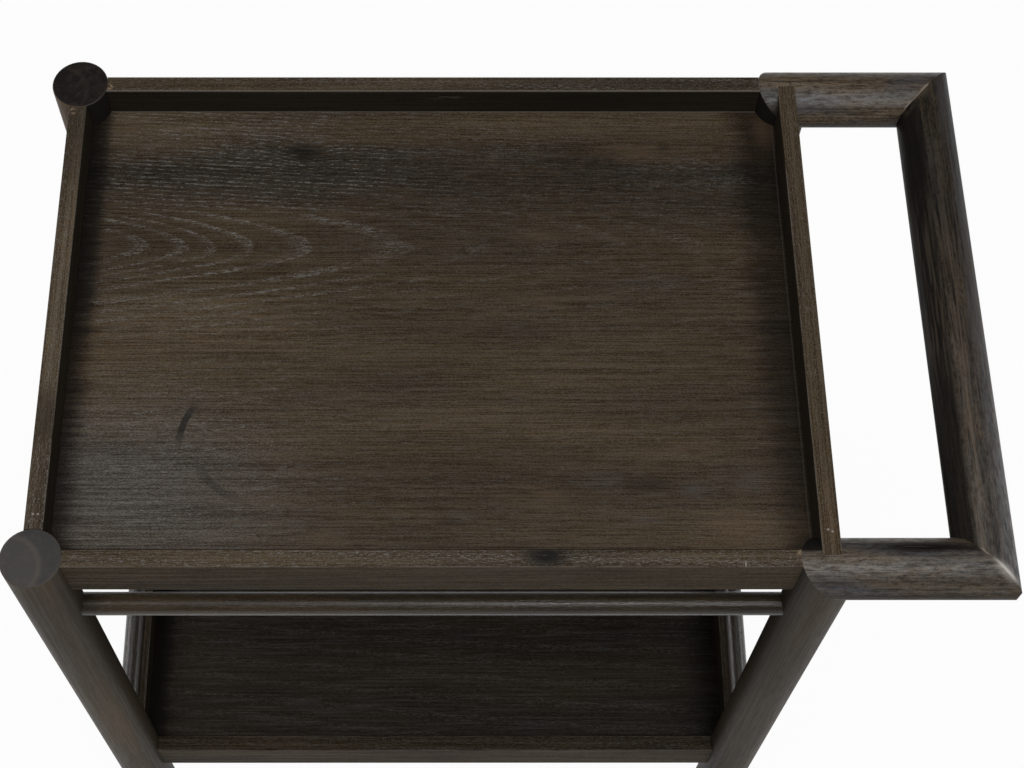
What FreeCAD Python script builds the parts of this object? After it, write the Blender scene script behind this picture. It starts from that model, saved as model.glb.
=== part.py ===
import FreeCAD, Part
import os

import Sketcher
from FreeCAD import Placement, Rotation, Vector

# Bar cart: two trays between four round legs, a mitred handle at one end and four swivel casters.
# Millimetres. X runs along the cart towards the handle, Y from front to back, Z up from the floor.
# The origin lies on the floor, under the middle of the cart's outer box.

SIZES = [
    ("overall_height", 840.0, "floor to the flush top of legs, rails and handle"),
    ("leg_span_length", 702.0, "leg axis to leg axis along the cart"),
    ("leg_span_width", 502.0, "leg axis to leg axis across the cart"),
    ("leg_diameter", 55.0, "round stock of the legs and the handle"),
    ("handle_reach", 141.0, "right leg axis to grip axis"),
    ("handle_corner_round", 7.0, "rounding of the handle's outer corners, seen from above"),
    ("rail_thickness", 17.0, "tray rail, face to face"),
    ("rail_height", 58.0, "tray rail, top edge to bottom edge"),
    ("rail_tenon_thickness", 6.0, "stub tenon on a rail's end"),
    ("rail_tenon_lift", 6.0, "rail's bottom edge up to its tenon"),
    ("rail_tenon_clear", 10.5, "handle's axis down to the tenon, which stays clear of the mitre"),
    ("rail_tenon_depth", 16.0, "how far the tenon enters the leg"),
    ("panel_thickness", 12.0, "tray panel"),
    ("panel_recess", 35.0, "rail's top edge down to the panel"),
    ("tongue_thickness", 6.0, "tongue round the panel's lower edge"),
    ("tongue_length", 4.5, "how far the tongue enters the rail"),
    ("shelf_height", 232.0, "floor to the lower tray's rim"),
    ("dowel_diameter", 22.0, "round stretchers and guard rails"),
    ("dowel_depth", 14.0, "how far a stretcher or guard rail enters the leg"),
    ("stretcher_drop", 119.0, "cart's top down to the stretchers' axis"),
    ("guard_rise", 59.0, "lower tray's rim up to the guard rails' axis"),
    ("loose_tenon_length", 24.0, "tenon across a handle mitre"),
    ("loose_tenon_width", 20.0, "tenon across a handle mitre"),
    ("loose_tenon_thickness", 10.0, "tenon across a handle mitre"),
    ("edge_ease", 1.0, "rounding of sawn edges"),
    ("foot_bevel", 2.0, "bevel round a leg's foot"),
    ("joint_gap", 0.15, "room for glue in a fixed joint"),
    ("wheel_diameter", 50.0, "over the tyre"),
    ("tyre_width", 18.0, "tyre, side to side"),
    ("tyre_thickness", 5.5, "tread to rim"),
    ("tyre_round", 4.0, "rounding of the tyre's shoulders"),
    ("tyre_room", 2.5, "tyre's side to the fork's cheek"),
    ("rim_width", 15.0, "wheel rim, side to side"),
    ("rim_thickness", 3.5, "wheel rim"),
    ("web_thickness", 5.0, "disc between wheel rim and barrel"),
    ("barrel_diameter", 15.0, "middle of the wheel, round its bore"),
    ("caster_trail", 17.0, "stem axis to wheel axle, seen from above"),
    ("crown_room", 5.5, "tyre's top to the fork's crown"),
    ("fork_sheet", 2.5, "pressed sheet of the fork"),
    ("fork_crown_length", 30.0, "fork's top, along the cart"),
    ("fork_eye_diameter", 17.0, "fork's rounded end about the axle"),
    ("fork_bend", 4.0, "outside bend of the fork's sheet"),
    ("axle_diameter", 6.0, "rivet through the wheel"),
    ("axle_head_diameter", 11.0, "rivet head"),
    ("axle_head_height", 2.2, "rivet head"),
    ("axle_head_bevel", 1.0, "bevel round a rivet head"),
    ("stem_diameter", 11.0, "caster's pin in the leg"),
    ("stem_point", 2.0, "bevel at the pin's upper end"),
    ("stem_end_room", 2.0, "pin's upper end to the end of its socket"),
    ("collar_diameter", 20.0, "shoulder of the pin, on the fork"),
    ("collar_height", 3.5, "shoulder of the pin, on the fork"),
    ("socket_wall", 1.5, "steel sleeve in the leg"),
    ("socket_length", 38.0, "steel sleeve above the leg's foot"),
    ("socket_flange_diameter", 26.0, "sleeve's flange under the leg"),
    ("socket_flange_height", 1.5, "sleeve's flange under the leg"),
    ("running_gap", 0.08, "room round a turning pin"),
    ("side_gap", 0.4, "room beside a turning piece"),
]

doc = FreeCAD.newDocument("bar_cart")
sheet = doc.addObject("Spreadsheet::Sheet", "sizes")
for row, (alias, value, meaning) in enumerate(SIZES, start=1):
    sheet.set(f"A{row}", meaning)
    sheet.set(f"B{row}", str(value))
    sheet.setAlias(f"B{row}", alias)
doc.recompute()

# Places that many pieces share, as expressions of the sheet. The caster's stack sets the leg's foot.

stock_radius = "(sizes.leg_diameter / 2)"
left_x = "(-(sizes.leg_span_length + sizes.handle_reach) / 2)"
right_x = "((sizes.leg_span_length - sizes.handle_reach) / 2)"
grip_x = "((sizes.leg_span_length + sizes.handle_reach) / 2)"
tray_x = "(-sizes.handle_reach / 2)"
front_y = "(-sizes.leg_span_width / 2)"
back_y = "(sizes.leg_span_width / 2)"
top_z = "sizes.overall_height"
handle_z = f"({top_z} - {stock_radius})"
stretcher_z = f"({top_z} - sizes.stretcher_drop)"
guard_z = "(sizes.shelf_height + sizes.guard_rise)"
crown_low = "(sizes.wheel_diameter + sizes.crown_room)"
crown_high = f"({crown_low} + sizes.fork_sheet)"
collar_high = f"({crown_high} + sizes.collar_height)"
flange_low = f"({collar_high} + sizes.side_gap)"
foot_z = f"({flange_low} + sizes.socket_flange_height)"

END_X = {"left": left_x, "right": right_x}
SIDE_Y = {"front": front_y, "back": back_y}
TRAY_Z = {"top": top_z, "shelf": "sizes.shelf_height"}
INWARD = {"left": 1, "right": -1, "front": 1, "back": -1}

X_AXIS = Vector(1, 0, 0)
Y_AXIS = Vector(0, 1, 0)
Z_AXIS = Vector(0, 0, 1)
UPRIGHT = Rotation()
ALONG_X = Rotation(Y_AXIS, 90)
AGAINST_X = Rotation(Y_AXIS, -90)
ALONG_Y = Rotation(X_AXIS, -90)
AGAINST_Y = Rotation(X_AXIS, 90)

# Two places closer than this are taken as one when an edge is picked.
SAME_PLACE = 0.001

finished = {}


def number(expression):
    """The expression's present value in millimetres."""
    return float(sheet.evalExpression(expression))


def place(item, x, y, z, turn=UPRIGHT):
    """Turns the item, then holds its base point to three expressions."""
    item.Placement = Placement(Vector(), turn)
    for axis, expression in zip("xyz", (x, y, z)):
        item.setExpression(f".Placement.Base.{axis}", expression)
    return item


def finish(item, label):
    """Names the item as a piece of the cart."""
    item.Label = label
    finished[label] = item


def round_bar(name, radius, length, x, y, z, turn=UPRIGHT):
    bar = doc.addObject("Part::Cylinder", name)
    bar.setExpression("Radius", radius)
    bar.setExpression("Height", length)
    return place(bar, x, y, z, turn)


# Where a block is held, as shares of its three lengths: at its middle, or at the middle of its first face.
MIDDLE = (0.5, 0.5, 0.5)
FIRST_FACE = (0.0, 0.5, 0.5)


def block(name, lengths, shares, point, turn=UPRIGHT):
    """A block turned about the given point, which lies at the given shares of its lengths."""
    box = doc.addObject("Part::Box", name)
    for property_name, length in zip(("Length", "Width", "Height"), lengths):
        box.setExpression(property_name, length)
    axes = [turn.multVec(axis) for axis in (X_AXIS, Y_AXIS, Z_AXIS)]
    corner = []
    for index, place_of_point in enumerate(point):
        parts = zip(lengths, shares, axes)
        steps = [f"{length} * {share * axis[index]:.12f}" for length, share, axis in parts]
        corner.append(f"{place_of_point} - ({' + '.join(steps)})")
    return place(box, *corner, turn)


def cut(name, base, tools):
    removed = doc.addObject("Part::Compound", f"{name}_tools")
    removed.Links = tools
    rest = doc.addObject("Part::Cut", name)
    rest.Base = base
    rest.Tool = removed
    return rest


def fuse(name, pieces):
    whole = doc.addObject("Part::MultiFuse", name)
    whole.Shapes = pieces
    whole.Refine = True
    return whole


def body(name):
    return doc.addObject("PartDesign::Body", name)


def sketch_on(owner, name, role):
    sketch = owner.newObject("Sketcher::SketchObject", name)
    plane = next(item for item in owner.Origin.OriginFeatures if item.Role == role)
    sketch.AttachmentSupport = [(plane, "")]
    sketch.MapMode = "FlatFace"
    return sketch


def pin_point(sketch, element, vertex, x, y):
    """Holds one point of a sketch at two expressions from the origin."""
    for kind, expression in (("DistanceX", x), ("DistanceY", y)):
        rule = Sketcher.Constraint(kind, -1, 1, element, vertex, number(expression))
        index = sketch.addConstraint(rule)
        sketch.setExpression(f"Constraints[{index}]", expression)


def set_radius(sketch, element, radius):
    index = sketch.addConstraint(Sketcher.Constraint("Radius", element, number(radius)))
    sketch.setExpression(f"Constraints[{index}]", radius)


def outline(owner, name, role, corners):
    """A closed sketch of straight edges through corners that are pairs of expressions."""
    sketch = sketch_on(owner, name, role)
    points = [Vector(number(x), number(y), 0) for x, y in corners]
    count = len(points)
    for index in range(count):
        sketch.addGeometry(Part.LineSegment(points[index], points[(index + 1) % count]), False)
    for index in range(count):
        sketch.addConstraint(Sketcher.Constraint("Coincident", index, 2, (index + 1) % count, 1))
    for index, (x, y) in enumerate(corners):
        pin_point(sketch, index, 1, x, y)
    return sketch


def rectangle(owner, name, role, half_x, low_y, high_y):
    """A rectangle as wide to either side of the sketch's vertical axis."""
    corners = [(f"-{half_x}", low_y), (half_x, low_y), (half_x, high_y), (f"-{half_x}", high_y)]
    return outline(owner, name, role, corners)


def disc(owner, name, radius):
    sketch = sketch_on(owner, name, "XY_Plane")
    sketch.addGeometry(Part.Circle(Vector(), Z_AXIS, number(radius)), False)
    sketch.addConstraint(Sketcher.Constraint("Coincident", 0, 3, -1, 1))
    set_radius(sketch, 0, radius)
    return sketch


def pad(owner, name, sketch, length, both_ways=False):
    feature = owner.newObject("PartDesign::Pad", name)
    feature.Profile = sketch
    feature.setExpression("Length", length)
    if both_ways:
        feature.SideType = "Symmetric"
    doc.recompute()


def turned(name, corners):
    """A body of revolution about its own Z axis; corners are pairs of radius and height."""
    owner = body(name)
    sketch = outline(owner, f"{name}_profile", "XZ_Plane", corners)
    feature = owner.newObject("PartDesign::Revolution", f"{name}_turning")
    feature.Profile = sketch
    feature.ReferenceAxis = (sketch, ["V_Axis"])
    feature.Angle = 360
    return owner


def mirrored(corners):
    """The same corners below the middle plane, in the other order."""
    return [(radius, f"-{height}") for radius, height in reversed(corners)]


def dress(owner, kind, name, size_property, size, heights):
    """Rounds or bevels the level edges of the body's last feature that lie at the given heights."""
    base = owner.Tip
    levels = [number(height) for height in heights]
    edges = []
    for index, edge in enumerate(base.Shape.Edges, start=1):
        box = edge.BoundBox
        level = box.ZLength < SAME_PLACE and box.XLength > SAME_PLACE
        if level and any(abs(box.ZMax - height) < SAME_PLACE for height in levels):
            edges.append(f"Edge{index}")
    feature = owner.newObject(f"PartDesign::{kind}", name)
    feature.Base = (base, edges)
    feature.setExpression(size_property, size)
    doc.recompute()


# Mitres of the handle: an elbow between a right leg and its arm, a corner between an arm and the grip.
# Each has a plane at 45 degrees, and a loose tenon stands square across it.

ELBOW_TURN = -45
CORNER_TURN = {"front": 45, "back": -45}
HALF_TURN = 180
tool_reach = "(4 * sizes.leg_diameter)"
half_space = (tool_reach, tool_reach, tool_reach)


def elbow_point(side):
    return right_x, SIDE_Y[side], handle_z


def corner_point(side):
    return grip_x, SIDE_Y[side], handle_z


def elbow_half(name, side, towards_arm):
    """The arm's space above an elbow's plane, or the leg's space below it."""
    angle = ELBOW_TURN if towards_arm else ELBOW_TURN + HALF_TURN
    return block(name, half_space, FIRST_FACE, elbow_point(side), Rotation(Y_AXIS, angle))


def corner_half(name, side, towards_grip):
    """The grip's space inside a corner's plane, or the arm's space outside it."""
    angle = CORNER_TURN[side] if towards_grip else CORNER_TURN[side] + HALF_TURN
    return block(name, half_space, FIRST_FACE, corner_point(side), Rotation(Z_AXIS, angle))


def loose_tenon(name, gap, point, turn):
    """A tenon across a mitre, or with a gap its mortise."""
    sizes = ("loose_tenon_length", "loose_tenon_width", "loose_tenon_thickness")
    lengths = [f"(sizes.{size} + 2 * {gap})" for size in sizes]
    return block(name, lengths, MIDDLE, point, turn)


def elbow_tenon(name, side, gap):
    return loose_tenon(name, gap, elbow_point(side), Rotation(Y_AXIS, ELBOW_TURN))


def corner_tenon(name, side, gap):
    return loose_tenon(name, gap, corner_point(side), Rotation(Z_AXIS, CORNER_TURN[side]))


# A corner's round is a little larger than one that would graze the two bars.
GRAZING = 1.1


def corner_waste(side):
    """What is sanded off an outer corner of the handle: the space beyond an upright round."""
    inset = f"({stock_radius} - sizes.handle_corner_round)"
    x = f"({grip_x} + {inset})"
    y = f"({SIDE_Y[side]} - {INWARD[side]} * {inset})"
    shares = (0.0, 1.0 if side == "front" else 0.0, 0.5)
    space = block(f"corner_space_{side}", half_space, shares, (x, y, handle_z))
    radius = f"{GRAZING} * sizes.handle_corner_round"
    low_z = f"{handle_z} - {tool_reach} / 2"
    kept = round_bar(f"corner_round_{side}", radius, tool_reach, x, y, low_z)
    return cut(f"corner_waste_{side}", space, [kept])


# Stub tenons of the rails, and the mortises that they fill in the legs.

tenon_tip = f"({stock_radius} - sizes.rail_tenon_depth)"
tenon_root = f"({stock_radius} + sizes.rail_thickness)"
tenon_low = "(-sizes.rail_height + sizes.rail_tenon_lift)"
tenon_high = f"(-{stock_radius} - sizes.rail_tenon_clear)"
tenon_middle = f"(({tenon_low} + {tenon_high}) / 2)"


def rail_tenon(name, gap, x, y, z, angle):
    """A tenon in the leg at x and y, or with a gap its mortise; the rail lies off at the angle."""
    turn = Rotation(Z_AXIS, angle)
    ahead = turn.multVec(X_AXIS)
    start = f"({tenon_tip} - {gap})"
    lengths = (
        f"({tenon_root} - {start})",
        f"(sizes.rail_tenon_thickness + 2 * {gap})",
        f"({tenon_high} - {tenon_low} + 2 * {gap})",
    )
    point = (
        f"({x} + {round(ahead.x)} * {start})",
        f"({y} + {round(ahead.y)} * {start})",
        f"({z} + {tenon_middle})",
    )
    return block(name, lengths, FIRST_FACE, point, turn)


# Legs, each with the mortises and bores that its neighbours need.

leg_length = f"({top_z} - {foot_z})"
dowel_radius = "(sizes.dowel_diameter / 2)"
dowel_tip = f"({stock_radius} - sizes.dowel_depth)"
stem_radius = "(sizes.stem_diameter / 2)"
stem_bore = f"({stem_radius} + sizes.running_gap)"
socket_radius = f"({stem_bore} + sizes.socket_wall)"
TOWARDS_MIDDLE = {"left": ALONG_X, "right": AGAINST_X, "front": ALONG_Y, "back": AGAINST_Y}
RAIL_ANGLE = {"left": 0, "right": 180, "front": 90, "back": -90}


def leg_sockets(name, end, side):
    """All that is cut into one leg for the rails, the round rails and the caster."""
    x = END_X[end]
    y = SIDE_Y[side]
    gap = "sizes.joint_gap"
    tools = []
    for tray, z in TRAY_Z.items():
        for way in (end, side):
            mortise = rail_tenon(f"{name}_{tray}_{way}_mortise", gap, x, y, z, RAIL_ANGLE[way])
            tools.append(mortise)
    hole = f"{dowel_radius} + {gap}"
    start = f"({dowel_tip} - {gap})"
    bore_x = f"{x} + {INWARD[end]} * {start}"
    bore_y = f"{y} + {INWARD[side]} * {start}"
    depth = stock_radius
    stretcher_turn = TOWARDS_MIDDLE[end]
    guard_turn = TOWARDS_MIDDLE[side]
    tools.append(round_bar(f"{name}_stretcher_bore", hole, depth, bore_x, y, stretcher_z, stretcher_turn))
    tools.append(round_bar(f"{name}_guard_bore", hole, depth, x, bore_y, guard_z, guard_turn))
    socket_depth = f"sizes.socket_length + {gap}"
    tools.append(round_bar(f"{name}_caster_bore", f"{socket_radius} + {gap}", socket_depth, x, y, foot_z))
    return tools


def leg_stock(name, end, side):
    owner = body(name)
    pad(owner, f"{name}_length", disc(owner, f"{name}_circle", stock_radius), leg_length)
    dress(owner, "Chamfer", f"{name}_foot", "Size", "sizes.foot_bevel", ["0"])
    if end == "left":
        dress(owner, "Chamfer", f"{name}_ease", "Size", "sizes.edge_ease", [leg_length])
    return place(owner, END_X[end], SIDE_Y[side], foot_z)


for side in SIDE_Y:
    for end in END_X:
        label = f"leg_{side}_{end}"
        sockets = leg_sockets(label, end, side)
        if end == "right":
            sockets.append(elbow_half(f"{label}_mitre", side, towards_arm=True))
            sockets.append(elbow_tenon(f"{label}_mortise", side, "sizes.joint_gap"))
        finish(cut(f"{label}_cut", leg_stock(f"{label}_stock", end, side), sockets), label)

# Handle: two arms and a grip of the legs' round stock, joined at mitres with loose tenons.

waste = {side: corner_waste(side) for side in SIDE_Y}
arm_start = f"{right_x} - {stock_radius}"
arm_length = "sizes.handle_reach + sizes.leg_diameter"
for side, y in SIDE_Y.items():
    label = f"handle_arm_{side}"
    stock = round_bar(f"{label}_stock", stock_radius, arm_length, arm_start, y, handle_z, ALONG_X)
    removed = [
        elbow_half(f"{label}_elbow", side, towards_arm=False),
        corner_half(f"{label}_corner", side, towards_grip=True),
        elbow_tenon(f"{label}_elbow_mortise", side, "sizes.joint_gap"),
        corner_tenon(f"{label}_corner_mortise", side, "sizes.joint_gap"),
        waste[side],
    ]
    finish(cut(f"{label}_cut", stock, removed), label)

grip_start = f"{front_y} - {stock_radius}"
grip_length = "sizes.leg_span_width + sizes.leg_diameter"
grip_stock = round_bar("grip_stock", stock_radius, grip_length, grip_x, grip_start, handle_z, ALONG_Y)
grip_removed = []
for side in SIDE_Y:
    grip_removed.append(corner_half(f"grip_{side}_corner", side, towards_grip=False))
    grip_removed.append(corner_tenon(f"grip_{side}_mortise", side, "sizes.joint_gap"))
    grip_removed.append(waste[side])
finish(cut("grip_cut", grip_stock, grip_removed), "handle_grip")

tenon_set = doc.addObject("Part::Compound", "mitre_tenon_set")
tenon_set.Links = [elbow_tenon(f"elbow_tenon_{side}", side, "0") for side in SIDE_Y]
tenon_set.Links += [corner_tenon(f"corner_tenon_{side}", side, "0") for side in SIDE_Y]
finish(tenon_set, "mitre_tenons")

# The room that legs take, with a gap for glue: it copes the rails and notches the panels.
# The upper right rail runs over the elbows instead, as far as the crest of each arm.

cope_radius = f"{stock_radius} + sizes.joint_gap"
cope_length = f"{leg_length} + sizes.edge_ease"
leg_room = []
elbow_room = []
for side, y in SIDE_Y.items():
    for end, x in END_X.items():
        leg_room.append(round_bar(f"cope_{side}_{end}", cope_radius, cope_length, x, y, foot_z))
    leg = round_bar(f"elbow_{side}_leg", cope_radius, cope_length, right_x, y, foot_z)
    arm = round_bar(f"elbow_{side}_arm", cope_radius, arm_length, arm_start, y, handle_z, ALONG_X)
    above = elbow_half(f"elbow_{side}_above", side, towards_arm=True)
    below = elbow_half(f"elbow_{side}_below", side, towards_arm=False)
    elbow_room.append(cut(f"elbow_{side}_leg_room", leg, [above]))
    elbow_room.append(cut(f"elbow_{side}_arm_room", arm, [below]))

# Rails: straight bars with eased edges, coped to the legs, tenoned, and grooved on the inner face.

half_rail = "(sizes.rail_thickness / 2)"
groove_height = "(sizes.tongue_thickness + 2 * sizes.joint_gap)"
groove_depth = "(sizes.tongue_length + 2 * sizes.joint_gap)"
groove_low = "(-sizes.panel_recess - sizes.panel_thickness - sizes.joint_gap)"
GROOVE_HOLD = (0.5, 1.0, 0.0)

# Each rail's middle and the span between its leg axes, and the turn that faces its groove inwards.
RAIL_PLAN = {
    "front": (tray_x, front_y, "sizes.leg_span_length"),
    "right": (right_x, "0", "sizes.leg_span_width"),
    "back": (tray_x, back_y, "sizes.leg_span_length"),
    "left": (left_x, "0", "sizes.leg_span_width"),
}
RAIL_TURN = {"front": 0, "right": 90, "back": 180, "left": -90}


def rail_stock(name, span):
    owner = body(name)
    section = rectangle(owner, f"{name}_section", "YZ_Plane", half_rail, "-sizes.rail_height", "0")
    pad(owner, f"{name}_length", section, span, both_ways=True)
    dress(owner, "Fillet", f"{name}_ease", "Radius", "sizes.edge_ease", ["-sizes.rail_height", "0"])
    return owner


def rail_ends(name, side, z):
    """The stub tenons at both ends of a rail."""
    legs = [(end, side) for end in END_X] if side in SIDE_Y else [(side, way) for way in SIDE_Y]
    tenons = []
    for end, way in legs:
        angle = RAIL_ANGLE[end] if side in SIDE_Y else RAIL_ANGLE[way]
        tenons.append(rail_tenon(f"{name}_{end}_{way}_tenon", "0", END_X[end], SIDE_Y[way], z, angle))
    return tenons


for tray, z in TRAY_Z.items():
    for side, (x, y, span) in RAIL_PLAN.items():
        label = f"{tray}_rail_{side}"
        turn = Rotation(Z_AXIS, RAIL_TURN[side])
        inner = turn.multVec(Y_AXIS)
        stock = place(rail_stock(f"{label}_stock", span), x, y, z, turn)
        over_elbows = (tray, side) == ("top", "right")
        coped = cut(f"{label}_coped", stock, elbow_room if over_elbows else leg_room)
        tenoned = fuse(f"{label}_tenoned", [coped, *rail_ends(label, side, z)])
        inner_x = f"{x} + {round(inner.x)} * {half_rail}"
        inner_y = f"{y} + {round(inner.y)} * {half_rail}"
        groove_point = (inner_x, inner_y, f"{z} + {groove_low}")
        groove_lengths = (span, groove_depth, groove_height)
        groove = block(f"{label}_groove", groove_lengths, GROOVE_HOLD, groove_point, turn)
        finish(cut(f"{label}_grooved", tenoned, [groove]), label)

# Panels: boards notched round the legs, with a tongue that sits in the rails' grooves.

face_half_length = f"(sizes.leg_span_length / 2 - {half_rail} - sizes.joint_gap)"
face_half_width = f"(sizes.leg_span_width / 2 - {half_rail} - sizes.joint_gap)"
tongue_reach = "(sizes.tongue_length + sizes.joint_gap)"
tongue_half_length = f"({face_half_length} + {tongue_reach})"
tongue_half_width = f"({face_half_width} + {tongue_reach})"
for tray, z in TRAY_Z.items():
    label = f"{tray}_panel"
    stock = body(f"{label}_stock")
    board = rectangle(
        stock, f"{label}_face", "XY_Plane", face_half_length, f"-{face_half_width}", face_half_width
    )
    pad(stock, f"{label}_board", board, "sizes.panel_thickness")
    edge = rectangle(
        stock, f"{label}_edge", "XY_Plane", tongue_half_length, f"-{tongue_half_width}", tongue_half_width
    )
    pad(stock, f"{label}_tongue", edge, "sizes.tongue_thickness")
    place(stock, tray_x, "0", f"{z} - sizes.panel_recess - sizes.panel_thickness")
    finish(cut(f"{label}_notched", stock, leg_room), label)

# Round stretchers under the upper tray and round guard rails over the lower tray's ends.

stretcher_length = f"sizes.leg_span_length - 2 * {dowel_tip}"
stretcher_start = f"{left_x} + {dowel_tip}"
for side, y in SIDE_Y.items():
    label = f"{side}_stretcher"
    bar = round_bar(f"{label}_bar", dowel_radius, stretcher_length, stretcher_start, y, stretcher_z, ALONG_X)
    finish(bar, label)
guard_length = f"sizes.leg_span_width - 2 * {dowel_tip}"
guard_start = f"{front_y} + {dowel_tip}"
for end, x in END_X.items():
    label = f"{end}_guard_rail"
    bar = round_bar(f"{label}_bar", dowel_radius, guard_length, x, guard_start, guard_z, ALONG_Y)
    finish(bar, label)

# Casters: a steel socket in the leg's foot, and a stem, fork, axle, wheel and tyre that turn in it.

axle_radius = "(sizes.axle_diameter / 2)"
axle_z = "(sizes.wheel_diameter / 2)"
rim_radius = "(sizes.wheel_diameter / 2 - sizes.tyre_thickness)"
half_crown = "(sizes.fork_crown_length / 2)"
eye_radius = "(sizes.fork_eye_diameter / 2)"
fork_gap = "(sizes.tyre_width + 2 * sizes.tyre_room)"
fork_width = f"({fork_gap} + 2 * sizes.fork_sheet)"


def caster_socket(name):
    """A sleeve with a flange under the leg's foot."""
    flange = "sizes.socket_flange_diameter / 2"
    high = f"{foot_z} + sizes.socket_length"
    corners = [
        (stem_bore, flange_low),
        (flange, flange_low),
        (flange, foot_z),
        (socket_radius, foot_z),
        (socket_radius, high),
        (stem_bore, high),
    ]
    return turned(name, corners)


def caster_stem(name):
    """A pin riveted in the fork's crown, with a collar that carries the leg's socket."""
    collar = "sizes.collar_diameter / 2"
    tip = f"({foot_z} + sizes.socket_length - sizes.stem_end_room)"
    corners = [
        ("0", crown_low),
        (stem_radius, crown_low),
        (stem_radius, crown_high),
        (collar, crown_high),
        (collar, collar_high),
        (stem_radius, collar_high),
        (stem_radius, f"{tip} - sizes.stem_point"),
        (f"{stem_radius} - sizes.stem_point", tip),
        ("0", tip),
    ]
    return turned(name, corners)


def fork_outline(owner, name):
    """The cheek's outline: a straight crown whose two sides run tangent into the round eye."""
    sketch = sketch_on(owner, name, "XZ_Plane")
    eye = Vector(number("sizes.caster_trail"), number(axle_z), 0)
    radius = number(eye_radius)
    front = Vector(-number(half_crown), number(crown_high), 0)
    back = Vector(number(half_crown), number(crown_high), 0)
    left = eye - X_AXIS * radius
    right = eye + X_AXIS * radius
    low = eye - Y_AXIS * radius
    crown, rear_side, arc, front_side = range(4)
    start, end, centre = 1, 2, 3
    sketch.addGeometry(Part.LineSegment(front, back), False)
    sketch.addGeometry(Part.LineSegment(back, right), False)
    sketch.addGeometry(Part.Arc(left, low, right), False)
    sketch.addGeometry(Part.LineSegment(left, front), False)
    sketch.addConstraint(Sketcher.Constraint("Coincident", crown, end, rear_side, start))
    sketch.addConstraint(Sketcher.Constraint("Coincident", front_side, end, crown, start))
    sketch.addConstraint(Sketcher.Constraint("Tangent", rear_side, end, arc, end))
    sketch.addConstraint(Sketcher.Constraint("Tangent", front_side, start, arc, start))
    pin_point(sketch, crown, start, f"-{half_crown}", crown_high)
    pin_point(sketch, crown, end, half_crown, crown_high)
    pin_point(sketch, arc, centre, "sizes.caster_trail", axle_z)
    set_radius(sketch, arc, eye_radius)
    return sketch


def caster_fork(name):
    """A pressed fork: two cheeks hung from a crown, with holes for stem and axle."""
    owner = body(f"{name}_stock")
    pad(owner, f"{name}_cheeks", fork_outline(owner, f"{name}_outline"), fork_width, both_ways=True)
    dress(owner, "Fillet", f"{name}_bend", "Radius", "sizes.fork_bend", [crown_high])
    slot_lengths = (tool_reach, fork_gap, crown_low)
    slot = block(f"{name}_slot", slot_lengths, (0.5, 0.5, 0.0), ("0", "0", "0"))
    stem_hole_radius = f"{stem_radius} + sizes.joint_gap"
    stem_hole = round_bar(f"{name}_stem_hole", stem_hole_radius, foot_z, "0", "0", axle_z)
    axle_hole_radius = f"{axle_radius} + sizes.joint_gap"
    axle_hole = round_bar(
        f"{name}_axle_hole", axle_hole_radius, f"2 * {fork_width}",
        "sizes.caster_trail", f"-{fork_width}", axle_z, ALONG_Y
    )
    return cut(name, owner, [slot, stem_hole, axle_hole])


def caster_axle(name):
    """A rivet about its own Z axis: a shank and two bevelled heads against the fork's cheeks."""
    head = "sizes.axle_head_diameter / 2"
    inside = f"({fork_width} / 2)"
    outside = f"({inside} + sizes.axle_head_height)"
    upper = [
        (axle_radius, inside),
        (head, inside),
        (head, f"({outside} - sizes.axle_head_bevel)"),
        (f"{head} - sizes.axle_head_bevel", outside),
        ("0", outside),
    ]
    return turned(name, [*mirrored(upper), *upper])


def wheel_hub(name):
    """Barrel, web and rim about its own Z axis."""
    bore = f"{axle_radius} + sizes.running_gap"
    barrel = "sizes.barrel_diameter / 2"
    barrel_half = f"({fork_gap} / 2 - sizes.side_gap)"
    inner_rim = f"{rim_radius} - sizes.rim_thickness"
    rim_half = "(sizes.rim_width / 2)"
    web_half = "(sizes.web_thickness / 2)"
    upper = [
        (bore, barrel_half),
        (barrel, barrel_half),
        (barrel, web_half),
        (inner_rim, web_half),
        (inner_rim, rim_half),
        (rim_radius, rim_half),
    ]
    return turned(name, [*upper, *mirrored(upper)])


def wheel_tyre(name):
    """A rubber ring on the rim, about its own Z axis, with shoulders rounded in two flats."""
    bore = f"{rim_radius} + sizes.joint_gap"
    tread = "(sizes.wheel_diameter / 2)"
    half = "(sizes.tyre_width / 2)"
    flat = "(sizes.tyre_round * (1 - cos(45 deg)))"
    upper = [
        (tread, f"({half} - sizes.tyre_round)"),
        (f"{tread} - {flat}", f"({half} - {flat})"),
        (f"{tread} - sizes.tyre_round", half),
        (bore, half),
    ]
    return turned(name, [*mirrored(upper), *upper])


for side, y in SIDE_Y.items():
    for end, x in END_X.items():
        spot = f"{side}_{end}"
        wheel_x = f"{x} + sizes.caster_trail"
        finish(place(caster_socket(f"socket_{spot}"), x, y, "0"), f"caster_socket_{spot}")
        finish(place(caster_stem(f"stem_{spot}"), x, y, "0"), f"caster_stem_{spot}")
        finish(place(caster_fork(f"fork_{spot}"), x, y, "0"), f"caster_fork_{spot}")
        finish(place(caster_axle(f"axle_{spot}"), wheel_x, y, axle_z, ALONG_Y), f"caster_axle_{spot}")
        finish(place(wheel_hub(f"hub_{spot}"), wheel_x, y, axle_z, ALONG_Y), f"wheel_hub_{spot}")
        finish(place(wheel_tyre(f"tyre_{spot}"), wheel_x, y, axle_z, ALONG_Y), f"wheel_tyre_{spot}")

# Every object is checked before any file is written.

doc.recompute()
for item in doc.Objects:
    if "Invalid" in item.State or "Error" in item.State:
        raise RuntimeError(f"{item.Label} failed: {item.State}")
for label, item in finished.items():
    if item.Shape.isNull() or not item.Shape.isValid() or not item.Shape.Solids:
        raise RuntimeError(f"{label} has no valid solid")

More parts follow.
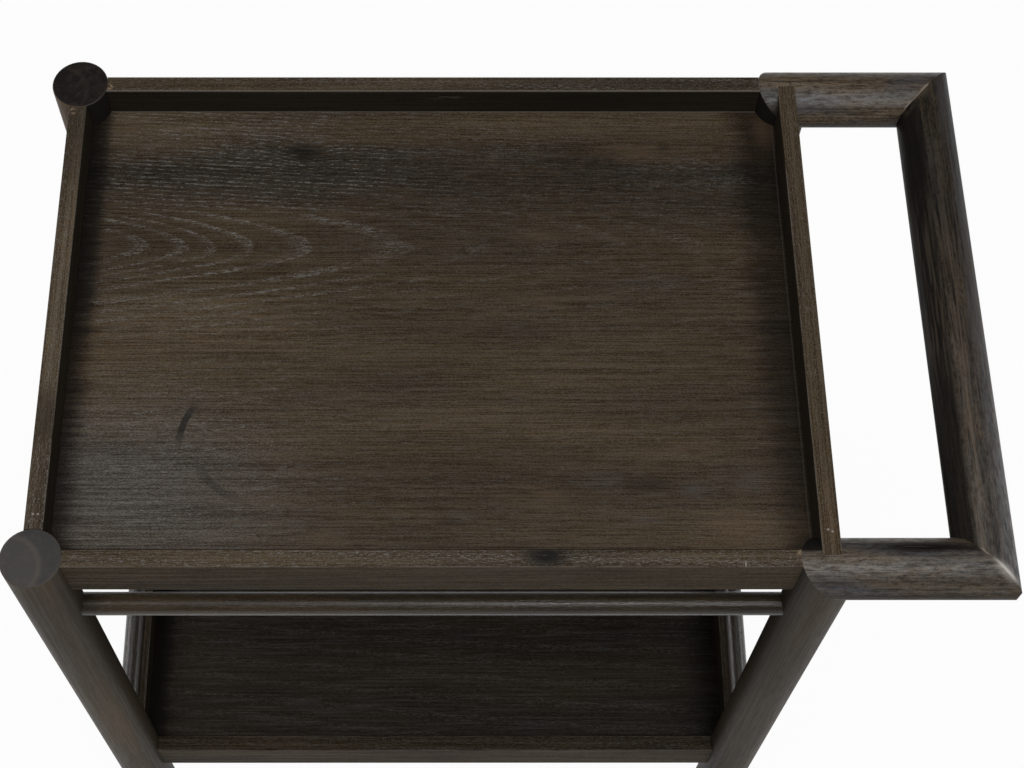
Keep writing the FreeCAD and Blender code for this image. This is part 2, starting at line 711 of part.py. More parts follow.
os.makedirs("parts", exist_ok=True)
for label, item in finished.items():
    item.Shape.exportStep(f"parts/{label}.step")
print(f"{len(finished)} pieces written")
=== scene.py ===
import math

import bpy
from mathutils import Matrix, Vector

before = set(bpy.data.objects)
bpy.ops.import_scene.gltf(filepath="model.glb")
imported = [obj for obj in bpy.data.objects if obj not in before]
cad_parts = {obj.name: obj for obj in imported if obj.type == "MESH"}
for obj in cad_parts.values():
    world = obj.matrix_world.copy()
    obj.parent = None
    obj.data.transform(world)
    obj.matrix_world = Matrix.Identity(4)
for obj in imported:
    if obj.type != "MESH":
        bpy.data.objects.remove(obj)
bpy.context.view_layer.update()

# Legs: four round posts of solid oak, stained charcoal brown and rubbed down with wax.
# The left pair ends flat, flush with the tray's rim, with its end grain sealed dark and smooth.
# The right pair is sawn at 45 degrees and glued to the handle's arms.


def add_node(tree, kind, inputs=None, **settings):
    """Adds a shader node; each input is a plain value or another node's output."""
    node = tree.nodes.new(f"ShaderNode{kind}")
    for name, value in settings.items():
        setattr(node, name, value)
    for key, value in (inputs or {}).items():
        if isinstance(value, bpy.types.NodeSocket):
            tree.links.new(value, node.inputs[key])
        else:
            node.inputs[key].default_value = value
    return node


def calc(tree, operation, first, second=0.0):
    """One sum with two numbers."""
    return add_node(tree, "Math", {0: first, 1: second}, operation=operation).outputs[0]


def vector_calc(tree, operation, first, second=(0.0, 0.0, 0.0), third=(0.0, 0.0, 0.0)):
    """One sum with two vectors, or with three."""
    return add_node(tree, "VectorMath", {0: first, 1: second, 2: third}, operation=operation).outputs[0]


def length_of(tree, vector):
    """Length of a vector."""
    return add_node(tree, "VectorMath", {0: vector}, operation="LENGTH").outputs["Value"]


def ease(tree, value, low, high, start=0.0, end=1.0):
    """Runs smoothly from start to end while the value goes from low to high."""
    inputs = {"Value": value, "From Min": low, "From Max": high, "To Min": start, "To Max": end}
    return add_node(tree, "MapRange", inputs, interpolation_type="SMOOTHSTEP").outputs["Result"]


def paint(tree, share, under, over, way="MIX"):
    """Lays one colour over another by a share; a colour mix has its sockets at places 0, 6 and 7."""
    node = add_node(tree, "Mix", {0: share, 6: under, 7: over}, data_type="RGBA", blend_type=way)
    return node.outputs[2]


def noise(tree, place, cells, detail=2.0, roughness=0.5):
    """Noise with its own count of cells in each metre along, across and through the grain."""
    inputs = {"Vector": vector_calc(tree, "MULTIPLY", place, cells), "Scale": 1.0}
    inputs |= {"Detail": detail, "Roughness": roughness}
    return add_node(tree, "TexNoise", inputs).outputs


def node_group(name, inputs, outputs):
    """A shader node group with named sockets; gives its tree and its two ends."""
    tree = bpy.data.node_groups.new(name, "ShaderNodeTree")
    for in_out, sockets in (("INPUT", inputs), ("OUTPUT", outputs)):
        for label, kind in sockets.items():
            tree.interface.new_socket(name=label, in_out=in_out, socket_type=f"NodeSocket{kind}")
    return tree, tree.nodes.new("NodeGroupInput").outputs, tree.nodes.new("NodeGroupOutput").inputs


def put_out(tree, made, results):
    """Links results to the outputs of a group."""
    for label, value in results.items():
        tree.links.new(value, made[label])


def make_growth_rings():
    """Counts the yearly rings from a pith beside the piece, with X along the grain."""
    inputs = {"Place": "Vector", "Pith Depth": "Float", "Ring Width": "Float", "Taper": "Float"}
    tree, given, made = node_group("growth_rings", inputs, {"Rings": "Float"})
    bend = noise(tree, given["Place"], (1.3, 6.0, 6.0), 0.0)["Color"]
    bend = vector_calc(tree, "SUBTRACT", bend, (0.5, 0.5, 0.5))
    bend = vector_calc(tree, "MULTIPLY", bend, (0.0, 0.02, 0.012))
    along, across, through = add_node(tree, "SeparateXYZ", {0: given["Place"]}).outputs
    depth = calc(tree, "ADD", through, given["Pith Depth"])
    section = add_node(tree, "CombineXYZ", {1: across, 2: depth}).outputs[0]
    radius = length_of(tree, vector_calc(tree, "ADD", section, bend))
    radius = calc(tree, "ADD", radius, calc(tree, "MULTIPLY", along, given["Taper"]))
    put_out(tree, made, {"Rings": calc(tree, "DIVIDE", radius, given["Ring Width"])})
    return tree


GRAIN_MASKS = ("Line", "Pores", "Fibre", "Fleck", "Cloud", "Tint")
LONG_FIBRES = 0.58


def make_oak_grain():
    """Ring lines, pores, fibres and flecks of oak, and broad clouds where the stain took unevenly."""
    inputs = {"Place": "Vector", "Rings": "Float", "Ripple": "Float"}
    outputs = {label: "Float" for label in GRAIN_MASKS}
    tree, given, made = node_group("oak_grain", inputs, outputs)
    place = given["Place"]
    ripple = calc(tree, "SUBTRACT", noise(tree, place, (22.0, 130.0, 130.0), 1.0)["Fac"], 0.5)
    ripple = calc(tree, "MULTIPLY", ripple, given["Ripple"])
    year = calc(tree, "FRACT", calc(tree, "ADD", given["Rings"], ripple))
    long_fibres = noise(tree, place, (6.0, 560.0, 560.0), 1.0)["Fac"]
    short_fibres = noise(tree, place, (38.0, 1150.0, 1150.0), 1.0)["Fac"]
    fibre = calc(tree, "ADD", calc(tree, "MULTIPLY", long_fibres, LONG_FIBRES),
                 calc(tree, "MULTIPLY", short_fibres, 1.0 - LONG_FIBRES))
    dashes = noise(tree, place, (150.0, 1100.0, 1100.0), 1.0)["Fac"]
    flecks = noise(tree, place, (520.0, 1150.0, 1150.0), 0.0)["Fac"]
    clouds = noise(tree, place, (3.0, 13.0, 13.0), 2.0)["Color"]
    cloud, tint, _ = add_node(tree, "SeparateColor", {0: clouds}).outputs
    put_out(tree, made, {
        "Line": calc(tree, "MULTIPLY", ease(tree, year, 0.5, 0.86), ease(tree, year, 1.0, 0.93)),
        "Pores": ease(tree, dashes, 0.48, 0.62),
        "Fibre": ease(tree, fibre, 0.36, 0.64),
        "Fleck": ease(tree, flecks, 0.3, 0.7),
        "Cloud": ease(tree, cloud, 0.33, 0.67),
        "Tint": ease(tree, tint, 0.35, 0.65),
    })
    return tree


FIBRE_TINT = (0.96, 1.09, 1.29)
FIBRE_SWING = 0.72
FLECK_SWING = 0.52
CLOUD_RANGE = (0.88, 1.12)


def make_dark_stain():
    """Dark stain on oak: brown where it is rubbed thin, grey wax left in pores and ring lines."""
    masks = (*GRAIN_MASKS, "Line Wax", "Pore Wax", "Rub", "Contrast", "Depth")
    inputs = {label: "Float" for label in masks}
    inputs |= {label: "Color" for label in ("Charcoal", "Brown", "Wax")}
    outputs = {"Color": "Color", "Roughness": "Float", "Height": "Float"}
    tree, given, made = node_group("dark_stain", inputs, outputs)
    thin = calc(tree, "ADD", calc(tree, "MULTIPLY", given["Tint"], 0.5), given["Rub"])
    thin = add_node(tree, "Clamp", {0: thin}).outputs[0]
    colour = paint(tree, thin, given["Charcoal"], given["Brown"])
    fibre = calc(tree, "MULTIPLY", calc(tree, "SUBTRACT", given["Fibre"], 0.5), FIBRE_SWING)
    fleck = calc(tree, "MULTIPLY", calc(tree, "SUBTRACT", given["Fleck"], 0.5), FLECK_SWING)
    tone = calc(tree, "MULTIPLY", calc(tree, "ADD", fibre, fleck), given["Contrast"])
    clouded = ease(tree, given["Cloud"], 0.0, 1.0, *CLOUD_RANGE)
    level = calc(tree, "MULTIPLY", given["Depth"], clouded)
    tones = add_node(tree, "CombineXYZ", {0: tone, 1: tone, 2: tone}).outputs[0]
    tones = vector_calc(tree, "MULTIPLY_ADD", tones, FIBRE_TINT, (1.0, 1.0, 1.0))
    levels = add_node(tree, "CombineXYZ", {0: level, 1: level, 2: level}).outputs[0]
    colour = paint(tree, 1.0, colour, vector_calc(tree, "MULTIPLY", tones, levels), "MULTIPLY")
    crowd = calc(tree, "MULTIPLY", given["Line"], given["Line Wax"])
    crowd = calc(tree, "ADD", crowd, given["Pore Wax"])
    waxed = calc(tree, "ADD", calc(tree, "MULTIPLY", given["Pores"], 0.9), 0.1)
    waxed = calc(tree, "MULTIPLY", waxed, ease(tree, given["Fleck"], 0.0, 1.0, 0.4, 1.3))
    waxed = add_node(tree, "Clamp", {0: calc(tree, "MULTIPLY", waxed, crowd)}).outputs[0]
    colour = paint(tree, waxed, colour, given["Wax"])
    rough = ease(tree, given["Fibre"], 0.0, 1.0, 0.5, 0.4)
    rough = calc(tree, "ADD", rough, calc(tree, "MULTIPLY", waxed, 0.2))
    height = calc(tree, "MULTIPLY", given["Fibre"], 0.4)
    height = calc(tree, "SUBTRACT", height, calc(tree, "MULTIPLY", given["Pores"], 0.4))
    put_out(tree, made, {"Color": colour, "Roughness": rough, "Height": height})
    return tree


growth_rings = make_growth_rings()
oak_grain = make_oak_grain()
dark_stain = make_dark_stain()
CHARCOAL = (0.0198, 0.0158, 0.0117, 1.0)
BROWN = (0.0465, 0.0322, 0.0180, 1.0)
GREY_WAX = (0.112, 0.104, 0.095, 1.0)
QUARTER = math.pi / 2
GRAIN_TURN = {"x": (0.0, 0.0, 0.0), "y": (0.0, 0.0, -QUARTER), "z": (0.0, QUARTER, 0.0)}
PORE_DEPTH = 0.0005
COAT_ROUGHNESS = 0.44


class WoodSurface:
    """One wood finish while it is made: its tree, and the colour, roughness and height so far."""

    def __init__(self, name, grain, shift):
        self.material = bpy.data.materials.new(name)
        self.material.use_nodes = True
        self.tree = self.material.node_tree
        self.tree.nodes.clear()
        self.position = add_node(self.tree, "TexCoord").outputs["Object"]
        self.x, self.y, self.z = add_node(self.tree, "SeparateXYZ", {0: self.position}).outputs
        inputs = {"Vector": self.position, "Rotation": GRAIN_TURN[grain], "Location": shift}
        self.place = add_node(self.tree, "Mapping", inputs).outputs["Vector"]

    def group(self, tree, inputs):
        """Places a node group and gives its outputs."""
        return add_node(self.tree, "Group", inputs, node_tree=tree).outputs

    def rings(self, pith_depth, ring_width, taper):
        """Counts the yearly rings of this piece."""
        inputs = {"Place": self.place, "Pith Depth": pith_depth}
        inputs |= {"Ring Width": ring_width, "Taper": taper}
        return self.group(growth_rings, inputs)["Rings"]

    def stain(self, rings, line_wax, pore_wax, rub, contrast=1.0, depth=1.0, ripple=0.5):
        """Stains the piece dark over its own grain."""
        inputs = {"Place": self.place, "Rings": rings, "Ripple": ripple}
        self.grain = self.group(oak_grain, inputs)
        inputs = {label: self.grain[label] for label in GRAIN_MASKS}
        inputs |= {"Line Wax": line_wax, "Pore Wax": pore_wax, "Rub": rub}
        inputs |= {"Contrast": contrast, "Depth": depth}
        inputs |= {"Charcoal": CHARCOAL, "Brown": BROWN, "Wax": GREY_WAX}
        stained = self.group(dark_stain, inputs)
        self.colour = stained["Color"]
        self.roughness = stained["Roughness"]
        self.height = stained["Height"]

    def times(self, *values):
        """The product of masks and numbers."""
        product = values[0]
        for value in values[1:]:
            product = calc(self.tree, "MULTIPLY", product, value)
        return product

    def band(self, value, middle, half, soft):
        """A mask that is full within half a width of a middle and fades over a soft edge."""
        gap = calc(self.tree, "ABSOLUTE", calc(self.tree, "SUBTRACT", value, middle))
        return ease(self.tree, gap, half + soft, half)

    def streaks(self, cells, low, high, detail=2.0):
        """Broken patches of noise that follow the grain."""
        return ease(self.tree, noise(self.tree, self.place, cells, detail)["Fac"], low, high)

    def lay(self, share, colour, strength=1.0):
        """Lays a colour over the finish by a mask."""
        share = calc(self.tree, "MULTIPLY", share, strength)
        self.colour = paint(self.tree, share, self.colour, colour)

    def seal(self, specular, bump=0.3, polish=0.0):
        """Closes the finish with its wax and gives the material; polish is the share of a thin coat."""
        inputs = {"Height": self.height, "Strength": bump, "Distance": PORE_DEPTH}
        normal = add_node(self.tree, "Bump", inputs).outputs["Normal"]
        inputs = {"Base Color": self.colour, "Roughness": self.roughness, "Normal": normal}
        inputs |= {"Specular IOR Level": specular, "Coat Weight": polish}
        inputs |= {"Coat Roughness": COAT_ROUGHNESS, "Coat Normal": normal}
        shader = add_node(self.tree, "BsdfPrincipled", inputs).outputs[0]
        add_node(self.tree, "OutputMaterial", {"Surface": shader})
        return self.material


def dress(node, material):
    """Gives a node of the frame its finish."""
    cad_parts[node].data.materials.clear()
    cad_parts[node].data.materials.append(material)


LEG_X = {"left": -0.4215, "right": 0.2805}
LEG_Y = {"front": -0.251, "back": 0.251}
LEG_TOP = 0.840
LEG_RADIUS = 0.0275
EASED_EDGE = 0.001
TRAY_FLOOR = 0.805
TRAY_SIDE = (0.0045, 0.0085)
TRAY_SIDE_SHADE = 0.97
# Painted shade: the near-black colour laid where the inside of the tray and the inner sides of the
# posts fall in shade.
PAINTED_INNER_SHADE = (0.0100, 0.0092, 0.0083, 1.0)
RIM_HIGHLIGHT = (0.075, 0.068, 0.060, 1.0)
END_BROWN = (0.046, 0.035, 0.026, 1.0)
LEG_GLOSS = 0.034
ROUND_STOCK = {"pith_depth": 0.06, "ring_width": 0.0045, "taper": 0.004}
LEGS = {
    "leg_front_left": {"shift": (0.10, 0.21, 0.05), "depth": 1.72},
    "leg_front_right": {"shift": (1.30, 0.33, 0.12), "depth": 1.10},
    "leg_back_left": {"shift": (2.20, -0.15, 0.31), "depth": 1.72},
    "leg_back_right": {"shift": (3.70, 0.08, -0.22), "depth": 1.50},
}
# Both flat ends are the same sealed end grain: the front-left one is painted lighter and bluer as
# painted sheen, the back-left one darker as painted shade.
FLAT_ENDS = {
    "leg_front_left": {
        "sealed_and_painted_light": (0.0215, 0.0186, 0.0168, 1.0), "shade": (0.0092, 0.0084, 0.0080, 1.0),
        "smoother": 0.12, "ring_line_and_rim_highlight": 0.5, "coat": 0.64,
    },
    "leg_back_left": {
        "sealed_and_painted_light": (0.0074, 0.0053, 0.0049, 1.0), "shade": (0.0064, 0.0049, 0.0045, 1.0),
        "smoother": -0.20, "ring_line_and_rim_highlight": 0.12, "coat": 0.24,
    },
}
RING_MIDDLE = (-0.021, -0.009)
RING_RADIUS = 0.029


def distance_from(surface, middle_x, middle_y):
    """Distance from an upright line."""
    tree = surface.tree
    offset_x = calc(tree, "SUBTRACT", surface.x, middle_x)
    offset_y = calc(tree, "SUBTRACT", surface.y, middle_y)
    return length_of(tree, add_node(tree, "CombineXYZ", {0: offset_x, 1: offset_y}).outputs[0])


def inward(surface, end, side):
    """Distances from a post's middle towards the inside of the cart, along and across it."""
    tree = surface.tree
    sign_x = -1.0 if end == "right" else 1.0
    sign_y = -1.0 if side == "back" else 1.0
    offset_x = calc(tree, "MULTIPLY", calc(tree, "SUBTRACT", surface.x, LEG_X[end]), sign_x)
    offset_y = calc(tree, "MULTIPLY", calc(tree, "SUBTRACT", surface.y, LEG_Y[side]), sign_y)
    return offset_x, offset_y


def shade_tray_side(surface, end, side, stain=PAINTED_INNER_SHADE):
    """Paints shade, in the colour given as stain, on the part of a post that stands inside the upper
    tray; gives the rest as a mask.
    """
    tree = surface.tree
    offset_x, offset_y = inward(surface, end, side)
    inside = calc(tree, "MINIMUM", offset_x, offset_y)
    above = ease(tree, surface.z, TRAY_FLOOR - 0.004, TRAY_FLOOR)
    below_end = ease(tree, surface.z, LEG_TOP - EASED_EDGE / 5, LEG_TOP - EASED_EDGE)
    shaded = surface.times(ease(tree, inside, *TRAY_SIDE), above, below_end)
    surface.lay(shaded, stain, TRAY_SIDE_SHADE)
    surface.roughness = calc(tree, "ADD", surface.roughness, surface.times(shaded, 0.3))
    return calc(tree, "SUBTRACT", 1.0, shaded)


for leg, look in LEGS.items():
    _, side, end = leg.split("_")
    middle_x, middle_y = LEG_X[end], LEG_Y[side]
    post = WoodSurface(f"{leg}_oak", "z", look["shift"])
    tree = post.tree
    post.stain(post.rings(**ROUND_STOCK), line_wax=0.05, pore_wax=0.05, rub=0.54, contrast=0.20,
               depth=look["depth"])
    post.lay(post.streaks((1.6, 55.0, 55.0), 0.42, 0.66, 3.0), CHARCOAL, 0.22)
    # Painted shade: the side of each post that faces the middle of the cart is darkened.
    inner_side = ease(tree, inward(post, end, side)[0], LEG_RADIUS * 0.45, LEG_RADIUS * 0.95)
    post.lay(inner_side, PAINTED_INNER_SHADE, 0.6)
    shade_tray_side(post, end, side)
    coat = 0.0
    if leg in FLAT_ENDS:
        flat_end = FLAT_ENDS[leg]
        top = ease(tree, post.z, LEG_TOP - EASED_EDGE / 2, LEG_TOP - EASED_EDGE / 5)
        ring = distance_from(post, middle_x + RING_MIDDLE[0], middle_y + RING_MIDDLE[1])
        outside_ring = ease(tree, ring, RING_RADIUS, RING_RADIUS + 0.006)
        colour = paint(tree, outside_ring, flat_end["sealed_and_painted_light"], flat_end["shade"])
        dust = noise(tree, post.position, (110.0, 110.0, 110.0), 4.0, 0.65)["Fac"]
        dust = ease(tree, dust, 0.42, 0.72)
        colour = paint(tree, post.times(dust, 0.30), colour, END_BROWN)
        ring_line = post.times(post.band(ring, RING_RADIUS, 0.0005, 0.0032), flat_end["ring_line_and_rim_highlight"])
        colour = paint(tree, ring_line, colour, END_BROWN)
        post.lay(top, colour)
        smoothed = post.times(top, flat_end["smoother"])
        post.roughness = calc(tree, "SUBTRACT", post.roughness, smoothed)
        radius = distance_from(post, middle_x, middle_y)
        # Painted highlight: a pale thin line along the eased rim of the flat end.
        rim = post.times(post.band(radius, LEG_RADIUS - EASED_EDGE / 2, 0.0005, 0.0003),
                         ease(tree, post.z, LEG_TOP - 1.5 * EASED_EDGE, LEG_TOP - EASED_EDGE))
        post.lay(rim, RIM_HIGHLIGHT, flat_end["ring_line_and_rim_highlight"])
        coat = post.times(top, flat_end["coat"])
    dress(leg, post.seal(LEG_GLOSS, bump=0.2, polish=coat))

# Handle: two arms and a grip of the same round oak, mitred to the legs and to each other.
# The stain is blotchy there, rubbed to brown oak along the crest where hands hold it,
# and worn to a thin pale line along the glued mitres.

HANDLE_Z = 0.8125
HANDLE_GLOSS = 0.045
GRIP_X = 0.4215
RUBBED_OAK = (0.070, 0.0530, 0.0375, 1.0)
# Near-black: soot streaks in the stain, and also painted shade where parts fall in shade.
SOOT_AND_PAINTED_SHADE = (0.0052, 0.0044, 0.0038, 1.0)
WORN_SEAM = (0.22, 0.185, 0.15, 1.0)
# Grey bloom in the stain of the bars, also used as painted sheen on the grip's outer side.
GREY_BLOOM_AND_SHEEN = (0.046, 0.0440, 0.0475, 1.0)
PAINTED_CORNER_GLINT = (0.42, 0.39, 0.36, 1.0)
HALF_ROOT = math.sqrt(0.5)
SEAM_SPANS = {"front": (GRIP_X - 0.008, GRIP_X + 0.006), "back": (GRIP_X - 0.020, GRIP_X - 0.002)}
SEAM_FADE = 0.005
CORNER_RIDGE = ((0.4320, -0.2605, 0.8340), (0.020, 0.020, 0.016))
DARK_STREAK = ((0.366, -0.2400, 0.8370), (0.100, 0.0085, 0.012))
RUB_SLOPE = 0.019


def soft_spot(surface, centre, reach):
    """A patch that is full at its centre and gone at its reach along X, Y and Z."""
    tree = surface.tree
    offset = vector_calc(tree, "SUBTRACT", surface.position, centre)
    distance = length_of(tree, vector_calc(tree, "DIVIDE", offset, reach))
    return ease(tree, distance, 1.0, 0.15)


def slant(surface, first, first_middle, second, second_middle):
    """Distance from a mitre's plane, which holds both middles and lies at 45 degrees."""
    tree = surface.tree
    offset = calc(tree, "ADD", calc(tree, "SUBTRACT", first, first_middle),
                  calc(tree, "SUBTRACT", second, second_middle))
    return calc(tree, "ABSOLUTE", calc(tree, "MULTIPLY", offset, HALF_ROOT))


def corner_seam(surface, side):
    """Wears the mitre between an arm and the grip: a broken pale line, fading to the outer corner; at
    the front it also paints a glint on the outer ridge.
    """
    tree = surface.tree
    across = surface.y if side == "front" else calc(tree, "MULTIPLY", surface.y, -1.0)
    distance = slant(surface, surface.x, GRIP_X, across, LEG_Y["front"])
    start, end = SEAM_SPANS[side]
    inner = surface.times(ease(tree, surface.x, end + SEAM_FADE, end),
                          ease(tree, surface.x, start - SEAM_FADE, start), surface.near(side))
    broken = surface.times(inner, surface.streaks((60.0, 60.0, 60.0), 0.34, 0.55))
    surface.lay(surface.times(ease(tree, distance, 0.009, 0.001), broken), RUBBED_OAK, 0.5)
    surface.lay(surface.times(ease(tree, distance, 0.0016, 0.0003), broken), WORN_SEAM, 0.75)
    if side == "front":
        # Painted highlight: a pale glint on the front outer ridge of the corner.
        ridge = soft_spot(surface, *CORNER_RIDGE)
        surface.lay(surface.times(ease(tree, distance, 0.008, 0.0), ridge), PAINTED_CORNER_GLINT, 0.4)
        surface.lay(surface.times(ease(tree, distance, 0.0022, 0.0004), ridge), PAINTED_CORNER_GLINT, 0.85)


class HandleBar(WoodSurface):
    """A round bar of the handle: blotchy charcoal stain with brown and sooty streaks."""

    def __init__(self, name, grain, shift, depth, bloom, soot):
        super().__init__(name, grain, shift)
        self.stain(self.rings(**ROUND_STOCK), line_wax=0.05, pore_wax=0.12, rub=0.35, contrast=1.25,
                   depth=depth)
        self.lay(self.streaks((9.0, 32.0, 32.0), 0.45, 0.68), GREY_BLOOM_AND_SHEEN, bloom)
        brown = self.times(self.streaks((26.0, 380.0, 380.0), 0.44, 0.66, 3.0),
                           ease(self.tree, self.grain["Fleck"], 0.0, 1.0, 0.4, 1.0))
        self.lay(brown, RUBBED_OAK, 0.85)
        sooty = self.times(self.streaks((15.0, 230.0, 230.0), 0.46, 0.64, 3.0),
                           ease(self.tree, self.grain["Fibre"], 0.0, 1.0, 1.0, 0.55))
        self.lay(sooty, SOOT_AND_PAINTED_SHADE, soot)
        spots = self.streaks((160.0, 420.0, 420.0), 0.50, 0.66, 3.0)
        self.lay(spots, SOOT_AND_PAINTED_SHADE, 0.62)
        mottled = noise(self.tree, self.place, (90.0, 300.0, 300.0), 4.0, 0.6)["Fac"]
        crest = ease(self.tree, self.z, HANDLE_Z + 0.002, HANDLE_Z + 0.016)
        self.polish = self.times(ease(self.tree, mottled, 0.36, 0.62, 0.25, 1.0), crest)

    def near(self, side):
        """Full on the half of the handle at one side."""
        return ease(self.tree, self.y, -0.01, 0.01, *((1.0, 0.0) if side == "front" else (0.0, 1.0)))


for side, shift, depth in (("front", (0.4, 0.7, 0.1), 1.66), ("back", (1.9, -0.4, 0.6), 2.05)):
    arm = HandleBar(f"handle_arm_{side}_oak", "x", shift, depth, bloom=0.88, soot=0.58)
    tree = arm.tree
    if side == "front":
        streak = arm.times(soft_spot(arm, *DARK_STREAK), arm.streaks((12.0, 200.0, 200.0), 0.28, 0.46))
        arm.lay(streak, SOOT_AND_PAINTED_SHADE, 0.95)
        arm.polish = arm.times(arm.polish, calc(tree, "SUBTRACT", 1.0, streak))
    corner_seam(arm, side)
    elbow = slant(arm, arm.x, LEG_X["right"], arm.z, HANDLE_Z)
    arm.lay(arm.times(ease(tree, elbow, 0.010, 0.001), arm.grain["Fibre"]), RUBBED_OAK, 0.35)
    # Painted shade on the part of each arm inside the tray corner: near-black at the front, charcoal at
    # the back.
    outside = shade_tray_side(arm, "right", side, SOOT_AND_PAINTED_SHADE if side == "front" else CHARCOAL)
    polish = arm.times(arm.polish, outside) if side == "front" else arm.polish
    dress(f"handle_arm_{side}", arm.seal(HANDLE_GLOSS, polish=polish))

grip = HandleBar("handle_grip_oak", "y", (0.2, 1.4, 0.3), depth=0.88, bloom=0.36, soot=0.82)
tree = grip.tree
# Painted shade: the grip is darker towards its back end.
grip.lay(ease(tree, grip.y, -0.06, 0.08), SOOT_AND_PAINTED_SHADE, 0.46)
# Painted shade: the grip's inner side, facing the tray, is laid near-black.
shaded = ease(tree, grip.x, GRIP_X - 0.008, GRIP_X - 0.017)
grip.lay(shaded, SOOT_AND_PAINTED_SHADE, 0.85)
# Painted sheen: the grip's outer side is laid lighter grey where a side lamp's reflection falls.
grip.lay(grip.times(ease(tree, grip.x, GRIP_X + 0.004, GRIP_X + 0.014),
                    grip.streaks((14.0, 300.0, 300.0), 0.35, 0.6)), GREY_BLOOM_AND_SHEEN, 0.6)
wander = calc(tree, "SUBTRACT", grip.x, calc(tree, "MULTIPLY", grip.y, RUB_SLOPE))
rub_line = grip.times(grip.band(wander, GRIP_X - 0.0025, 0.0006, 0.0060),
                      ease(tree, grip.z, 0.825, 0.832),
                      grip.streaks((16.0, 520.0, 520.0), 0.44, 0.66),
                      ease(tree, grip.y, 0.10, -0.04, 0.35, 1.0))
grip.lay(rub_line, RUBBED_OAK, 0.8)
held = grip.times(grip.band(grip.y, 0.02, 0.05, 0.08), grip.streaks((20.0, 460.0, 460.0), 0.46, 0.62))
grip.lay(held, RUBBED_OAK, 0.35)
corner_seam(grip, "front")
corner_seam(grip, "back")
polish = grip.times(grip.polish, ease(tree, grip.y, 0.05, -0.22, 0.12, 0.85),
                    calc(tree, "SUBTRACT", 1.0, shaded))
dress("handle_grip", grip.seal(HANDLE_GLOSS, polish=polish))

# Loose tenons: flat beech blocks glued across the four mitres of the handle.
# They are planed bare and hidden once the handle is closed.

BEECH = (0.52, 0.36, 0.23, 1.0)
BEECH_RAY = (0.36, 0.22, 0.13, 1.0)
tenon = WoodSurface("tenon_beech", "x", (0.3, 0.2, 0.9))
tenon_rings = tenon.rings(pith_depth=0.06, ring_width=0.003, taper=0.004)
tenon.stain(tenon_rings, line_wax=0.0, pore_wax=0.0, rub=0.5)
rays = tenon.streaks((160.0, 900.0, 900.0), 0.55, 0.68)
tenon.colour = paint(tenon.tree, tenon.times(rays, 0.6), BEECH, BEECH_RAY)
dress("mitre_tenons", tenon.seal(0.3))

# Upper tray rails: four straight oak bars on edge, tenoned and coped to the legs.
# Their top edges are rubbed lighter and show open pores, the outer faces are plain brown,
# and the inner faces carry painted shade, as photographed.

RAIL_LINES = {
    "front": ("x", (0.3, 0.5, 0.2), LEG_Y["front"], 1.0),
    "back": ("x", (1.3, 0.1, 0.7), LEG_Y["back"], -1.0),
    "left": ("y", (0.6, 0.3, 0.4), LEG_X["left"], 1.0),
    "right": ("y", (1.6, 0.2, 0.9), LEG_X["right"], -1.0),
}
UPPER_RIM = LEG_TOP
HALF_RAIL = 0.0085
RAIL_GLOSS = 0.012
WORN_EDGE_AND_HIGHLIGHT = (0.100, 0.087, 0.073, 1.0)
SMUDGE = (0.0090, 0.0088, 0.0088, 1.0)
BARE_CHIP = (0.25, 0.18, 0.12, 1.0)
PALE_DOT = (0.25, 0.22, 0.20, 1.0)
PIN_HOLE = (0.0016, 0.0016, 0.01)
CHIP_CELLS = (300.0, 300.0, 300.0)


def rail_stain(name, side, rim, top_depth, top_wax):
    """A rail's finish by its faces: rubbed top edge, brown outer face, and painted shade on the inner
    face.
    """
    grain, shift, line, towards_tray = RAIL_LINES[side]
    rail = WoodSurface(name, grain, shift)
    tree = rail.tree
    across = calc(tree, "SUBTRACT", rail.y if grain == "x" else rail.x, line)
    across = calc(tree, "MULTIPLY", across, towards_tray)
    top = ease(tree, rail.z, rim - 0.0014, rim - 0.0005)
    rail.stain(
        rail.rings(pith_depth=0.08, ring_width=0.004, taper=0.004),
        line_wax=ease(tree, top, 0.0, 1.0, 0.04, top_wax),
        pore_wax=ease(tree, top, 0.0, 1.0, 0.03, top_wax),
        rub=ease(tree, top, 0.0, 1.0, 0.8, 0.32),
        contrast=ease(tree, top, 0.0, 1.0, 0.95, 1.0),
        depth=ease(tree, top, 0.0, 1.0, 1.02, top_depth),
    )
    # Painted shade on the inner face, below the rim.
    inner = rail.times(ease(tree, across, HALF_RAIL - 0.0014, HALF_RAIL - 0.0003),
                       ease(tree, rail.z, rim - 0.0006, rim - 0.0018))
    rail.lay(inner, PAINTED_INNER_SHADE, 0.76)
    outward = calc(tree, "ABSOLUTE", across)
    edge = rail.times(ease(tree, outward, HALF_RAIL - 0.0012, HALF_RAIL - 0.0004),
                      ease(tree, rail.z, rim - 0.0016, rim - 0.0008),
                      rail.streaks((26.0, 200.0, 200.0), 0.35, 0.55))
    rail.lay(edge, WORN_EDGE_AND_HIGHLIGHT, 0.6)
    return rail, across


